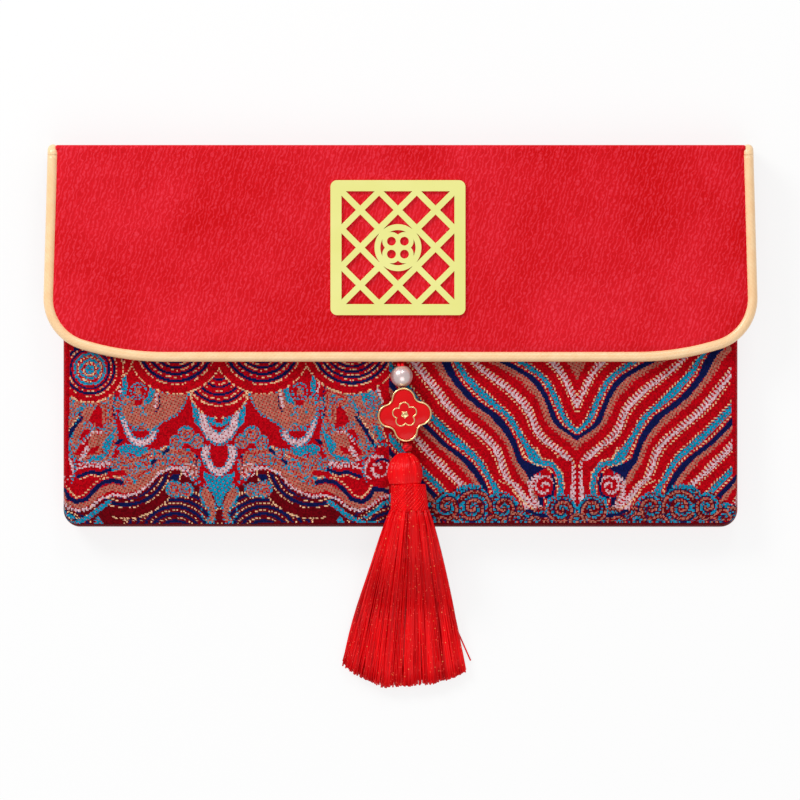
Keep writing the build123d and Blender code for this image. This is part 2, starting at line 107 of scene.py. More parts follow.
def build_piece(name, points, finish, around=True, closed=False, uv=None, smooth=True, **attributes):
    """A mesh from grids of points in mm, shaped (grids, rows, columns, 3); four neighbours make one face.

    around joins the last column to the first. closed joins the last row to the first as well, or else one
    flat face closes each of these two rows. uv has one column more than the points. An attribute has a value
    for each point.
    """
    points = np.asarray(points, float)
    points = points[None] if points.ndim == 3 else points
    grids, rows, columns = points.shape[:3]
    index = np.arange(grids * rows * columns).reshape(grids, rows, columns)
    joined = np.concatenate([index, index[:, :, :1]], 2) if around else index
    joined = np.concatenate([joined, joined[:, :1]], 1) if closed else joined
    faces = cell_corners(joined).reshape(-1, 4).tolist()
    capped = around and not closed
    if capped:
        faces += index[:, 0, ::-1].tolist() + index[:, -1].tolist()
    mesh = bpy.data.meshes.new(name)
    mesh.from_pydata((points * 0.001).reshape(-1, 3), [], faces)
    if uv is not None:
        corners = cell_corners(np.broadcast_to(uv, (grids, *np.shape(uv)[-3:]))).reshape(-1, 2)
        spare = np.zeros((len(mesh.loops) - len(corners), 2))
        mesh.uv_layers.new(name="UVMap").uv.foreach_set("vector", np.vstack([corners, spare]).ravel())
    for key, values in attributes.items():
        layer = mesh.attributes.new(key, "FLOAT", "POINT")
        values = np.broadcast_to(values, (grids, rows, columns))
        layer.data.foreach_set("value", values.astype(np.float32).ravel())
    mesh.materials.append(finish)
    on_grid = np.arange(len(faces)) < len(faces) - 2 * grids * capped
    mesh.polygons.foreach_set("use_smooth", smooth & on_grid)
    return add_object(name, mesh)


def sheet_along(path, half, thick, columns=48, edge_steps=4):
    """A sheet across X that follows a path of (y, z) points, with half-round long edges.

    Each row's closed section runs across on the outer side, round the edge and back on the inner one: a point
    is the path's point, plus its share of half across, plus half the thickness along the edge's direction.
    The inner side is to the left of the path, seen from +X.
    """
    run = np.gradient(path, axis=0)
    run = run / np.linalg.norm(run, axis=1, keepdims=True)
    inner = np.stack([-run[:, 1], run[:, 0]], -1)
    across = np.linspace(1, -1, columns)
    turn = np.radians(np.linspace(-90, 90, edge_steps + 2)[1:-1])
    share = np.concatenate([across, -np.ones(edge_steps), across[::-1], np.ones(edge_steps)])
    out = np.concatenate([0 * across, -np.cos(turn), 0 * across, np.cos(turn)])
    rise = np.concatenate([0 * across - 1, np.sin(turn), 0 * across + 1, -np.sin(turn)])
    half = np.broadcast_to(half, len(path))[:, None]
    x = share * (half - thick / 2) + out * thick / 2
    lift = (rise * thick / 2)[None, :, None] * inner[:, None, :]
    return np.concatenate([x[..., None], path[:, None, :] + lift], -1)


def flat_rows(y_low, y_high, z, rows, corner):
    """A level path in Y at height z, with extra rows in its first millimetres for a round corner."""
    near = y_low + corner * (1 - np.cos(np.linspace(0, np.pi / 2, 12)))
    y = np.concatenate([near, np.linspace(y_low + corner, y_high, rows)[1:]])
    return np.stack([y, np.full_like(y, z)], -1)


def round_ended(half, y, y_low, corner):
    """Half widths of a panel whose two lower corners are quarter circles, short of a point at their ends."""
    dip = np.clip(corner - (y - y_low), 0, corner)
    return half - corner + np.sqrt(np.maximum(corner**2 - dip**2, 0.01))


panel_half, y_panel, panel_corner = 90.9, -50.75, 3.2
y_yoke, leather_thick, yoke_gap = 35.2, 0.8, 0.05
back_path = flat_rows(y_panel, y_yoke - yoke_gap, leather_thick / 2, 60, panel_corner)
back_half = round_ended(panel_half, back_path[:, 0], y_panel, panel_corner)

# Leatherette: a coated cloth embossed with a fine wrinkled grain, its ridges about 1 mm apart and leaning a
# little, semi-matt. Its colour holds painted highlight, paler pink on the grain's crests, and painted
# shade, darker red in its grooves. Slow changes of tone come from the way that the coating lies on the
# board. A wave texture of scale 1 repeats every wave_turn.
wave_turn = np.pi / 10
ridge_mm, ridge_stretch, ridge_lean, break_mm, cloud_mm = 1.08, 1.7, np.radians(-18.0), 0.7, 24.0
leatherette, tree, place = start_finish("red_grained_leatherette", Roughness=0.58, Specular_IOR_Level=0.1)
leaning = add_node(tree, "ShaderNodeMapping", {
    "Vector": place, "Rotation": (0, 0, ridge_lean), "Scale": (1.0, ridge_stretch, 1.0),
}, vector_type="TEXTURE")
ridges = add_node(tree, "ShaderNodeTexWave", {
    "Vector": leaning, "Scale": 1000 / ridge_mm * wave_turn, "Distortion": 7.0,
    "Detail": 1.0, "Detail Scale": 3.0,
}, bands_direction="X")
breaks = add_node(tree, "ShaderNodeTexNoise", {"Vector": place, "Scale": 1000 / break_mm, "Detail": 2.0})
grain = add_node(tree, "ShaderNodeMath", {0: ridges, 1: breaks}, operation="MULTIPLY")
clouds = add_node(tree, "ShaderNodeTexNoise", {"Vector": place, "Scale": 1000 / cloud_mm, "Detail": 4.0})
tone = add_node(tree, "ShaderNodeValToRGB", {"Fac": clouds}, [(0.35, "c60007"), (0.65, "e42334")])
# Painted highlight and shade: the grain's crests pale pink, its grooves dark red.
grain_highlight_and_shade = add_node(tree, "ShaderNodeValToRGB", {"Fac": grain},
                 [(0.0, "c6000a"), (0.25, "d60313"), (0.65, "e83c4e")])
add_node(tree, "ShaderNodeMixRGB", {0: 0.6, 1: tone, 2: grain_highlight_and_shade}, to="Base Color")
add_node(tree, "ShaderNodeBump", {"Height": grain, "Strength": 0.25, "Distance": 0.00012}, to="Normal")

back = build_piece("back_leather", sheet_along(back_path, back_half, leather_thick), leatherette)
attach(back, "pouch")
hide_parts("back_panel")


# Gusset: one strip of the same leatherette, folded outwards along its middle, that joins the back to the
# front down both sides and along the bottom. It is sewn in with a seam on each long edge.
def tube_along(path, section, up):
    """A closed section carried along paths, each ring square to its path, its first axis nearest to up.

    Section points are (first axis, second axis) pairs, counter-clockwise about the path.
    """
    run = np.gradient(path, axis=-2)
    run = run / np.linalg.norm(run, axis=-1, keepdims=True)
    first = up - run * (run @ up)[..., None]
    first = first / np.linalg.norm(first, axis=-1, keepdims=True)
    second = np.cross(run, first)
    return (path[..., None, :] + section[..., 0:1] * first[..., None, :]
            + section[..., 1:2] * second[..., None, :])


def arc_points(centre, radius, start, turn, steps):
    """Points on an arc about a centre in any one plane, angles in degrees."""
    angle = np.radians(np.linspace(start, start + turn, steps))
    return np.stack([centre[0] + radius * np.cos(angle), centre[1] + radius * np.sin(angle)], -1)


def length_along(path):
    """Distance along paths at each of their points, from 0 at the first."""
    step = np.linalg.norm(np.diff(path, axis=-2), axis=-1)
    return np.concatenate([np.zeros((*step.shape[:-1], 1)), np.cumsum(step, -1)], -1)


gusset_x, gusset_low, gusset_high, gusset_bow, gusset_wall = 90.95, 0.1, 9.1, 0.75, 0.6
y_mouth, y_round = 46.15, y_panel + panel_corner
vertical = np.array([0.0, 0, 1])


def gusset_bulge(z):
    """How far the folded strip stands out at height z: a flattened half wave from seam to seam."""
    return gusset_bow * np.sin(np.pi * (z - gusset_low) / (gusset_high - gusset_low)) ** 0.8


seam_corner = panel_corner + gusset_x - panel_half
gusset_path = np.concatenate([
    np.linspace((-gusset_x, y_mouth), (-gusset_x, y_round), 40)[:-1],
    arc_points((panel_corner - panel_half, y_round), seam_corner, 180, 90, 10)[:-1],
    arc_points((panel_half - panel_corner, y_round), seam_corner, 270, 90, 10),
    np.linspace((gusset_x, y_mouth), (gusset_x, y_round), 40)[-2::-1],
])
gusset_path = np.column_stack([gusset_path, np.zeros(len(gusset_path))])
rise = np.linspace(gusset_low, gusset_high, 15)
gusset_section = np.concatenate([
    np.stack([rise, gusset_bulge(rise) + gusset_wall], -1)[::-1],
    np.stack([rise, gusset_bulge(rise)], -1),
])
gusset = build_piece("gusset_strip", tube_along(gusset_path, gusset_section, vertical), leatherette)
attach(gusset, "pouch")
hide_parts("left_gusset", "right_gusset", "bottom_gusset")


# Stiffeners: three sheets of grey board that keep the back, the front and the flap flat.
# They are glued between the outer cloth and the lining, and their cut edges show pale fibres.
def coat(mesh, finish):
    """Gives a mesh one material in place of its own."""
    mesh.materials.clear()
    mesh.materials.append(finish)


# Grey board: pressed from waste paper, quite matt and mottled by its fibres.
fibre_mm = 1.2
board, tree, place = start_finish("grey_board", Roughness=0.9, Specular_IOR_Level=0.2)
fibres = add_node(tree, "ShaderNodeTexNoise", {"Vector": place, "Scale": 1000 / fibre_mm, "Detail": 6.0})
add_node(tree, "ShaderNodeValToRGB", {"Fac": fibres}, [(0.3, "8e877c"), (0.7, "b3ab9d")], to="Base Color")
add_node(tree, "ShaderNodeBump", {"Height": fibres, "Strength": 0.3, "Distance": 0.0001}, to="Normal")
for node in ("back_stiffener", "front_stiffener", "flap_stiffener"):
    coat(cad_nodes[node].data, board)


# Magnets: two discs of a hidden closure, one let into the front's board and one into the flap's.
# Their bright nickel plate mirrors its surroundings, with a faint haze of fine scratches.
scratch_mm = 0.8
nickel, tree, place = start_finish("bright_nickel_plate", Metallic=1.0, Roughness=0.25)
haze = add_node(tree, "ShaderNodeTexNoise", {"Vector": place, "Scale": 1000 / scratch_mm, "Detail": 4.0})
add_node(tree, "ShaderNodeValToRGB", {"Fac": haze}, [(0.2, "b9b6ae"), (0.8, "d2d0ca")], to="Base Color")
for node in ("pocket_magnet", "flap_magnet"):
    coat(cad_nodes[node].data, nickel)


# Pocket linings: thin plain-woven red cloth, glued to the inside of both boards up to the pouch's mouth.
# It is dull and soft, with a fine check from its threads, drawn at twice their spacing so that it shows.
# The check is a bump, and it is also painted into the colour as shade, darker between the threads.
weave_mm = 1.0
lining, tree, place = start_finish("red_lining_cloth", Roughness=0.75, Specular_IOR_Level=0.25,
                                   Sheen_Weight=0.2)
ribs = [add_node(tree, "ShaderNodeTexWave", {"Vector": place, "Scale": 1000 / weave_mm * wave_turn},
                 bands_direction=way) for way in "XY"]
weave = add_node(tree, "ShaderNodeMath", dict(enumerate(ribs)), operation="MAXIMUM")
# Painted shade: darker red where the threads' ribs are low, between the threads.
add_node(tree, "ShaderNodeValToRGB", {"Fac": weave}, [(0.1, "8c0a16"), (0.9, "bb1424")], to="Base Color")
add_node(tree, "ShaderNodeBump", {"Height": weave, "Strength": 0.4, "Distance": 0.0001}, to="Normal")

inner_half, y_inner, inner_corner, lining_thick = 90.3, -50.15, 2.6, 0.3
y_back_end, z_back_lining, z_front_lining = 50.65, 1.95, 7.25
for name, node, board_node, z_middle, y_end in (
    ("back_lining_cloth", "back_lining", "back_stiffener", z_back_lining, y_back_end),
    ("front_lining_cloth", "front_lining", "front_stiffener", z_front_lining, y_mouth),
):
    path = flat_rows(y_inner, y_end, z_middle, 30, inner_corner)
    half = round_ended(inner_half, path[:, 0], y_inner, inner_corner)
    cloth = build_piece(name, sheet_along(path, half, lining_thick, 40), lining)
    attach(cloth, "pouch")
    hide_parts(node)


# Front panel: jacquard brocade, red satin with figures woven in navy, teal, tan, white and cream silk, drawn
# over the front board and turned under at its edges. One repeat of hanging scales and scrolls fills the left
# half and one of standing water under clouds the right half, each mirrored about its own middle.
RED, DEEP, NAVY, TEAL, TAN, WHITE, CREAM = range(7)
thread_colours = {"red": "b40010", "deep": "66000b", "navy": "0c1448", "teal": "0a8aae", "tan": "b26a5a",
                  "white": "d4b2ba", "cream": "e4b48a"}
thread_names = list(thread_colours)
stitch_mm = 0.37
tooth_mm, cloud_line_mm, wave_mm = 4 * stitch_mm / 2**0.5, 2.3, 6.4
stripe_top, stripe_slope, stripe_mm, stripe_start = -5.0, 1.05, 13.0, 0.13


def inside(u, v, outline):
    """Even-odd test of points against a closed outline of corners."""
    found = np.zeros(u.shape, bool)
    for (u0, v0), (u1, v1) in zip(outline, np.roll(outline, -1, axis=0)):
        crosses = (v0 > v) != (v1 > v)
        found ^= crosses & (u < u0 + (u1 - u0) * (v - v0) / (v1 - v0 + 1e-12))
    return found


def measure(u, v, path):
    """Distance of points from a line through the path, and how far along the line the nearest spot lies."""
    nearest, along, done = np.full(u.shape, 1e9), np.zeros(u.shape), 0.0
    for (u0, v0), (u1, v1) in zip(path[:-1], path[1:]):
        run = np.hypot(u1 - u0, v1 - v0)
        share = np.clip(((u - u0) * (u1 - u0) + (v - v0) * (v1 - v0)) / run**2, 0, 1)
        away = np.hypot(u - u0 - share * (u1 - u0), v - v0 - share * (v1 - v0))
        along = np.where(away < nearest, done + share * run, along)
        nearest = np.minimum(away, nearest)
        done += run
    return nearest, along


def weave_scale(cloth, u, v, centre, rings, edge, ground=RED):
    """One scale: plain ground out to a dotted cream edge, and rings of (thread, inner, outer radius)."""
    away = np.hypot(u - centre[0], v - centre[1])
    beat = np.arctan2(u - centre[0], v - centre[1]) * away / tooth_mm % 1
    cloth[away < edge + 0.15] = ground
    for thread, inner, outer in [*rings, (CREAM, edge - 0.2, edge + 0.2)]:
        cloth[(away >= inner) & (away < outer) & ((thread != CREAM) | (beat < 0.6))] = thread


def weave_motifs(cloth, u, v, motifs):
    """Weaves each motif (kind, thread, size, weave, numbers) over the ones before it.

    A fill is an outline, a line a path of half width size, a ring (centre, radius) of half width size. A
    spiral, a curl and a ball are discs of radius size: a spiral's turns follow radius minus angle, a curl is
    edged with teal. Tan and white fills have a beaded teal edge, and an echo repeats it further in. A fill of
    cloud is a row of waves, rings about points on the hem.
    """
    for kind, thread, size, weave, numbers in motifs:
        points = np.reshape(numbers, (-1, 2))
        margin = size + (points[1, 0] if kind == "ring" else 0) + 0.5
        low, high = (points[:1] if kind == "ring" else points).min(0) - margin, points.max(0) + margin
        near = (u > low[0]) & (u < high[0]) & (v > low[1]) & (v < high[1])
        a, b = u[near], v[near]
        away = np.hypot(a - points[0, 0], b - points[0, 1])
        angle = np.arctan2(b - points[0, 1], a - points[0, 0])
        along, depth, cover, beaded = angle * away, away, away < size, False
        if kind in ("fill", "line"):
            depth, along = measure(a, b, points)
            cover = depth < size
        if kind == "fill":
            cover, beaded = inside(a, b, points), (thread in ("tan", "white")) & (depth < 0.3)
            if thread == "cloud":
                away, angle, along = np.hypot(a % wave_mm - wave_mm / 2, b - y_panel), 0.0, a + b
        elif kind == "ring":
            cover = np.abs(away - points[1, 0]) < size
        elif kind == "spiral" and thread != "cloud":
            turn = (away / (0.55 * size) - angle / (2 * np.pi)) % 1.0
            cover, depth = cover & (turn < 0.5), np.abs(turn - 0.25) * 4 * size
        beat = along / tooth_mm % 1
        if weave == "dash":
            cover &= beat < 0.65
        if weave == "comb":
            cover &= (depth < 0.35 * size) | (beat < 0.5)
        woven = np.full(a.shape, thread_names.index(thread) if thread in thread_names else DEEP)
        beaded = beaded & (beat < 0.6)
        woven[beaded] = TEAL
        if weave == "echo":
            for echo, start, dash in ((RED, 0.85, 0.75), (TEAL, 1.7, 0.6), (RED, 2.4, 0.75)):
                woven[(depth > start) & (depth < start + 0.35) & (beat < dash)] = echo
        cover = cover | beaded
        if kind == "curl":
            turn = (away / (0.5 * size) - angle / (2 * np.pi)) % 1.0
            woven[(turn > 0.3) & (turn < 0.5)] = RED
            woven[((turn < 0.3) | (away > 0.8 * size)) & (beat < 0.75)] = TEAL
        if thread == "cloud":
            turn = (away / cloud_line_mm - angle / (2 * np.pi)) % 1.0
            woven[(turn < 0.3) & (beat < 0.75)] = TEAL
            woven[(turn > 0.5) & (turn < 0.8) & (beat < 0.75)] = TAN
            woven[turn > 0.86] = NAVY
        patch = cloth[near]
        patch[cover] = woven[cover]
        cloth[near] = patch


# One repeat of the stripes: where each ends, its thread, and whether it is solid or dotted over the next one.
stripe_threads = [
    (0.07, RED, "solid"), (0.09, CREAM, "dots"), (0.15, WHITE, "dots"), (0.15, RED, "solid"),
    (0.215, WHITE, "solid"), (0.24, RED, "solid"), (0.275, CREAM, "dots"), (0.475, RED, "solid"),
    (0.505, CREAM, "dots"), (0.515, RED, "solid"), (0.53, NAVY, "dots"), (0.65, TEAL, "solid"),
    (0.675, RED, "solid"), (0.715, CREAM, "dots"), (0.735, RED, "solid"), (0.845, NAVY, "solid"),
    (0.93, TAN, "solid"), (0.955, TAN, "dots"),
]


def weave_stripes(u, v, lines):
    """Standing water: each line holds one phase, and the phase rises evenly from each to the next.

    A whole phase is one repeat of stripes, white comb to white comb. Above the lines the stripes climb
    outwards on a slope, and new ones start at the mirror line. Returns the thread at each place.
    """
    u, v = u - stripe_slope * np.clip(v - stripe_top, 0, None), np.minimum(v, stripe_top)
    reach = [np.reshape(numbers, (-1, 2))[::-1] for numbers in lines.values()]
    reach = [np.interp(v, points[:, 1], points[:, 0]) for points in reach]
    phase = min(lines) + np.minimum(u, 0) / stripe_mm
    for near, far, rise in zip(reach[:-1], reach[1:], np.diff(list(lines))):
        phase += rise * np.clip((u - near) / (far - near), 0, 1)
    part = (phase + stripe_start) % 1.0
    dotted = (u + v) / (tooth_mm * 2**0.5) % 1.0 < 0.5
    stripes = [(part < end) & (dotted | (spacing == "solid")) for end, thread, spacing in stripe_threads]
    return np.select(stripes, [thread for end, thread, spacing in stripe_threads], RED)


# The motifs' places are in mm from the mirror line and from the middle of the pouch.
left_motifs = [
    ("fill", "red", 0, "", (0, 49.7, 54.5, 49.7, 54.5, -43.3, 47, -44, 43.6, -46, 38.8, -47.5, 35.4, -46.4,
     31.3, -43.6, 26.1, -44.3, 21.7, -42.6, 18.3, -39.5, 15.5, -37, 9.7, -36.6, 8, -39.2, 6, -40.9, 0,
     -41.9)),
    ("fill", "tan", 0, "", (8.3, -15.8, 9.7, -19.1, 11.5, -21.4, 14, -22.8, 17, -24.7, 18.4, -26.1, 20.9,
     -24.9, 23.4, -24.9, 25.6, -23.6, 26.8, -20.8, 26.5, -16.4, 23.4, -16.9, 20.9, -16.9, 19, -16.4, 17.7,
     -14.5, 16, -15.3, 12.1, -15.9)),
    ("fill", "tan", 0, "echo", (29.2, -13.9, 35.4, -15.3, 43.2, -15.3, 45.1, -20.7, 44.6, -25.5, 41.9, -32.4,
     36.7, -34.4, 32.6, -34.8, 29.9, -33.7, 27.5, -28.3, 28.9, -22.1)),
    ("fill", "tan", 0, "echo", (11.4, -32.4, 14.8, -31, 19.3, -31.3, 24.4, -33.4, 29.9, -34.1, 31.1, -37.1,
     25.8, -40.6, 22.4, -41.9, 18.9, -39.2, 13.5, -35.8)),
    ("line", "teal", 0.22, "dash", (8.2, -15.9, 9.6, -18.9, 11.5, -21.4, 13.7, -22.7, 15.9, -23.9, 17.3,
     -25)),
    ("fill", "tan", 0, "echo", (29.2, -13.9, 33.4, -15.1, 36, -16.4, 35.3, -18.9, 32.2, -19.5, 32.2, -23.6,
     30.9, -26.4, 29, -24.9, 28.1, -21.1, 28.7, -16.7)),
    ("fill", "tan", 0, "", (33.8, -19.8, 36.3, -18.6, 38.2, -21.7, 39.7, -25.5, 40.8, -29.9, 39.1, -29.9,
     36.6, -24.9)),
    ("fill", "tan", 0, "", (36.3, -15.8, 38.8, -14.3, 41.9, -15.4, 43.5, -18.6, 42.9, -21.7, 40.7, -22.3,
     38.2, -20.8, 36.6, -18.3)),
    ("fill", "teal", 0, "", (38.9, -15.8, 41, -15.4, 42.4, -17, 41.3, -18.9, 39.4, -18.3)),
    ("line", "teal", 0.25, "dash", (36.1, -16.4, 37.5, -19.5, 39.1, -21.4, 41, -21.1, 42.7, -19.5)),
    ("fill", "red", 0, "", (23.7, -8.7, 25.3, -11.7, 25.4, -16.1, 23.4, -17, 23.1, -18.9, 21.2, -19.1, 20.6,
     -17.3, 19, -16.7, 19, -14.3, 20.6, -12.3)),
    ("ring", "teal", 0.28, "dash", (22.1, -15.1, 2.1, 0)),
    ("fill", "tan", 0, "", (21.7, -13.9, 22.8, -14.2, 23.1, -15.8, 22.3, -16.5, 21.3, -15.8)),
    ("fill", "teal", 0, "", (25.4, -9.9, 26.5, -11.5, 26.7, -15.4, 25.6, -16.4, 25, -14.5)),
    ("fill", "teal", 0, "", (17.6, -14.5, 19, -14, 19.5, -16.7, 20.6, -17.6, 20.6, -18.9, 19, -18.3, 17.9,
     -17)),
    ("line", "white", 0.38, "comb", (17, -15.8, 17.1, -18, 17.6, -19.8)),
    ("line", "navy", 0.25, "dash", (16.2, -16.4, 16.3, -18.9, 17.3, -20.6)),
    ("line", "white", 0.44, "comb", (27.8, -11.7, 27.3, -13.6, 27, -15.4)),
    ("line", "teal", 0.31, "dash", (26.8, -16.1, 27.8, -17, 27.3, -18.3, 25.6, -18.6, 24, -17.6)),
    ("line", "teal", 0.28, "dash", (20.6, -19.8, 22.1, -19.1, 23.7, -19.8, 24, -21.4)),
    ("line", "teal", 0.28, "dash", (19.9, -21.7, 20.6, -20.8, 21.5, -21.1, 21.4, -22.3)),
    ("line", "navy", 0.25, "dash", (28.9, -13.9, 28.4, -16.4, 29, -19.2, 28.6, -22.3)),
    ("fill", "red", 0, "", (31.9, -19.8, 34.1, -20.1, 36.6, -24.9, 38.2, -28, 37.5, -31.1, 35.6, -27.4, 33.9,
     -23.6, 32.2, -21.4)),
    ("line", "cream", 0.22, "dash", (32, -22.3, 33.1, -21.4, 33.8, -23, 32.2, -24.2, 32.7, -26.1)),
    ("fill", "navy", 0, "", (39.4, -24.5, 40.8, -24.9, 42.9, -28.5, 41.9, -29.1)),
    ("line", "navy", 0.28, "dash", (38, -21.1, 38.8, -23, 39.7, -24.5)),
    ("fill", "teal", 0, "", (41.6, -24.1, 43.5, -24.7, 45.2, -28, 44.1, -28.8, 42.9, -26.7)),
    ("line", "cream", 0.22, "dash", (43.5, -23.6, 45.1, -26.1, 46, -28.6)),
    ("line", "white", 0.41, "comb", (42.2, -13.1, 43.8, -15.1, 44.6, -18)),
    ("line", "cream", 0.22, "dash", (43.5, -12.5, 46, -10.7)),
    *[("curl", "tan", size, "", centre) for size, *centre in (
        (1.63, 41.2, -18.3), (1.26, 31.4, -17.3), (1.13, 30.2, -24.8), (1.26, 36, -24.5),
        (1.13, 41.2, -27.6), (1.26, 27.8, -18.7), (1.07, 20.7, -24.8),
    )],
    ("fill", "teal", 0, "", (19.3, -30.2, 21.5, -30.4, 25.6, -29.4, 28.1, -30.8, 27.2, -31.8, 23.7, -32.1,
     21.7, -33.2, 20.3, -32.1)),
    ("fill", "teal", 0, "", (28.1, -24.9, 30.6, -27.7, 32.2, -29.9, 31.2, -32.1, 35.3, -33.3, 36.3, -34.3,
     32.2, -34, 30.3, -32.1, 29, -28.6)),
    ("fill", "red", 0, "", (18.7, -26.1, 20.9, -26.6, 24, -26, 25.6, -24.9, 24, -27.7, 21.5, -28.6, 19.6,
     -27.8)),
    ("line", "teal", 0.25, "dash", (18.1, -26, 20.9, -25.8, 22.8, -25.6, 25, -25.5)),
    ("fill", "white", 0, "", (16.8, -25.7, 17.7, -28.3, 19.6, -29.8, 21.8, -30.3, 24.1, -29.1, 25.8, -26.3,
     27.2, -21.4, 26.5, -21.3, 24.8, -25.2, 23.4, -27.6, 21.5, -28.4, 19.6, -27.7, 18.4, -25.9)),
    ("fill", "navy", 0, "", (26.1, -28.2, 27.5, -28.3, 28.9, -29.9, 27.3, -29.6)),
    ("fill", "red", 0, "", (32.8, -18.3, 34.5, -20.6, 33.4, -27.2, 31.7, -25.5, 32.1, -21.4)),
    ("fill", "red", 0, "", (35.4, -26.9, 37.4, -28.9, 39.5, -32.7, 37.4, -32.4, 35.7, -30)),
    ("line", "teal", 0.28, "dash", (36, -17, 37.4, -15.9, 40.5, -15.9, 41.9, -18.3, 40.2, -20.4, 38.1,
     -19.7)),
    ("line", "navy", 0.38, "", (37.4, -22.1, 39.8, -25.5, 42.8, -30.4)),
    ("line", "cream", 0.22, "dash", (38.6, -22.1, 41.2, -25.9, 43.9, -30.3)),
    ("line", "white", 0.69, "comb", (36, -30.8, 37.2, -32.4, 38, -34)),
    ("fill", "red", 0, "", (32.5, -29.9, 35, -30.5, 36.3, -32.7, 34.1, -32.1)),
    ("line", "teal", 0.28, "dash", (31.9, -25.5, 33.8, -24.9, 35.3, -26.7, 37.5, -28.6, 39.1, -30.5)),
    ("line", "white", 0.28, "dash", (32.2, -26.4, 34.4, -26.1, 36, -28, 37.2, -29.3)),
    ("fill", "teal", 0, "", (0, -24.9, 1.7, -24.5, 3, -23.3, 3.3, -21.7, 1.9, -21.4, 0.8, -23.6, 0, -23.6)),
    ("fill", "teal", 0, "", (5.2, -19.4, 7.5, -18.1, 7.2, -20.8, 6.8, -23.6, 5.3, -25.2, 4.7, -23.6)),
    ("fill", "white", 0, "", (0, -29.8, 3.2, -28.3, 5.1, -25, 5.8, -20.2, 4, -20.9, 2.5, -24.7, 0, -26.6)),
    ("line", "teal", 0.25, "dash", (0, -30.2, 1.7, -29.4, 3.6, -27.7, 4.9, -25.2)),
    ("line", "cream", 0.22, "dash", (7.8, -17, 6.9, -18.4, 4.9, -19.8, 2.7, -21.1, 0, -21.7)),
    *[("curl", "tan", size, "", centre) for size, *centre in (
        (2.07, 6.2, -28.8), (1.95, 11.6, -28.9), (2.45, 9, -27),
    )],
    ("fill", "red", 0, "", (0, -29.9, 2.4, -29.9, 2.7, -33, 1.6, -35.2, 0, -35.5)),
    ("fill", "white", 0, "", (0, -38.7, 3.2, -36.3, 4.9, -32.5, 4.6, -29.8, 2.5, -30, 2.7, -33.4, 1.4, -35.6,
     0, -36.3)),
    ("fill", "teal", 0, "", (0, -39.1, 2.5, -37.8, 4.4, -37.1, 4, -39.2, 2.5, -41.9, 1.3, -44.3, 0.3, -46.4,
     0, -46.6)),
    ("fill", "tan", 0, "", (2.5, -42.3, 4, -40.6, 5.3, -43, 4.7, -45.4, 3.2, -46.9, 2.5, -48.8, 3.6, -51, 1.5,
     -51, 0.8, -48.8, 1, -46)),
    ("fill", "deep", 0, "", (0, -46.9, 0.9, -48.1, 1, -50.7, 0, -51.2)),
    ("line", "teal", 0.25, "dash", (5, -41.5, 5.3, -43.4, 3.9, -45.9, 5.2, -48.4, 4.2, -50)),
    ("fill", "tan", 0, "echo", (8.3, -31.1, 12.7, -30.5, 15.2, -30.4, 19, -32.7, 18.4, -35.2, 14, -34.8, 9.6,
     -35.2, 7.4, -39.3, 5.7, -38.7, 5.3, -34.3, 6.8, -32.1)),
    ("line", "navy", 0.47, "", (14, -31.1, 16.2, -32.7, 18.4, -34.8)),
    ("line", "cream", 0.22, "dash", (14.6, -30.2, 16.8, -31.5, 19.3, -33.3)),
    ("line", "navy", 0.28, "dash", (6.1, -32.7, 6.4, -34.9, 6.3, -37.4)),
    ("spiral", "white", 2.35, "comb", (8.3, -36.9)),
    ("curl", "tan", 2.32, "", (12.4, -41.7)),
    ("curl", "tan", 1.95, "", (8.9, -42.1)),
    ("line", "teal", 0.25, "dash", (5.2, -39.9, 7.1, -40.9, 8.9, -41.5, 9.6, -43.4, 12.1, -44.2, 14.3, -42.8,
     14, -40.6, 12.1, -39.6)),
    ("fill", "navy", 0, "", (10.5, -38, 12.7, -37.7, 13.7, -39.3, 11.5, -39.6)),
    *[("curl", "tan", size, "", centre) for size, *centre in (
        (1.44, 12.8, -33.6), (1.32, 16.6, -32.5), (1.26, 18.3, -36.8), (1.26, 28.2, -36.6),
        (1.95, 26.2, -33.7), (2.26, 25.1, -40.1), (1.73, 29, -35.1), (1.57, 20.6, -35.1),
        (1.51, 23.4, -36.2),
    )],
    ("line", "teal", 0.63, "", (30, -45.3, 32.8, -47.3, 36, -49.8, 39.7, -51.2, 46.3, -51.6)),
    ("fill", "teal", 0, "", (31.6, -51.9, 33.1, -49, 34.7, -51.9)),
    ("line", "teal", 0.44, "", (40, -49.7, 42.9, -47.8, 45.1, -45.6, 47.9, -45)),
    ("line", "tan", 0.94, "", (15.9, -36.2, 19, -38.7, 22.1, -41.2, 25.9, -42.1, 29.4, -41.3, 32.8, -42.8,
     35.6, -45.4, 38.8, -46.5, 41, -45.3, 43.5, -43.1, 46.3, -42.1)),
    ("line", "white", 0.5, "comb", (9.3, -36, 14, -36.3, 16.5, -37.7, 19, -40.6, 22.1, -42.9, 25.9, -43.9, 29,
     -43.4, 32.2, -44.5, 35.3, -47, 38.5, -47.9, 41.3, -46.7, 44.1, -44.3, 46.9, -43.4)),
    ("line", "deep", 0.22, "", (14, -37.1, 16.5, -38.7, 19, -41.5, 22.1, -43.7, 25.9, -44.7, 29, -44.3, 32.2,
     -45.4, 35.3, -47.8, 38.5, -48.8, 41.3, -47.6, 44.4, -45.1, 46.9, -44.2)),
    ("line", "navy", 0.6, "", (26.8, -40.1, 29, -39.5, 31.9, -40.1, 34.1, -42.1, 36.3, -44.6, 39.1, -45.4, 41,
     -44.2, 42.5, -41.8, 44.7, -42.1, 46.9, -42.8)),
    ("line", "cream", 0.22, "dash", (27.2, -38.7, 29.7, -38.4, 32.8, -39.3, 35, -41.2, 36.9, -43.4, 39.1,
     -44.2, 40.7, -42.6, 41.9, -40.6)),
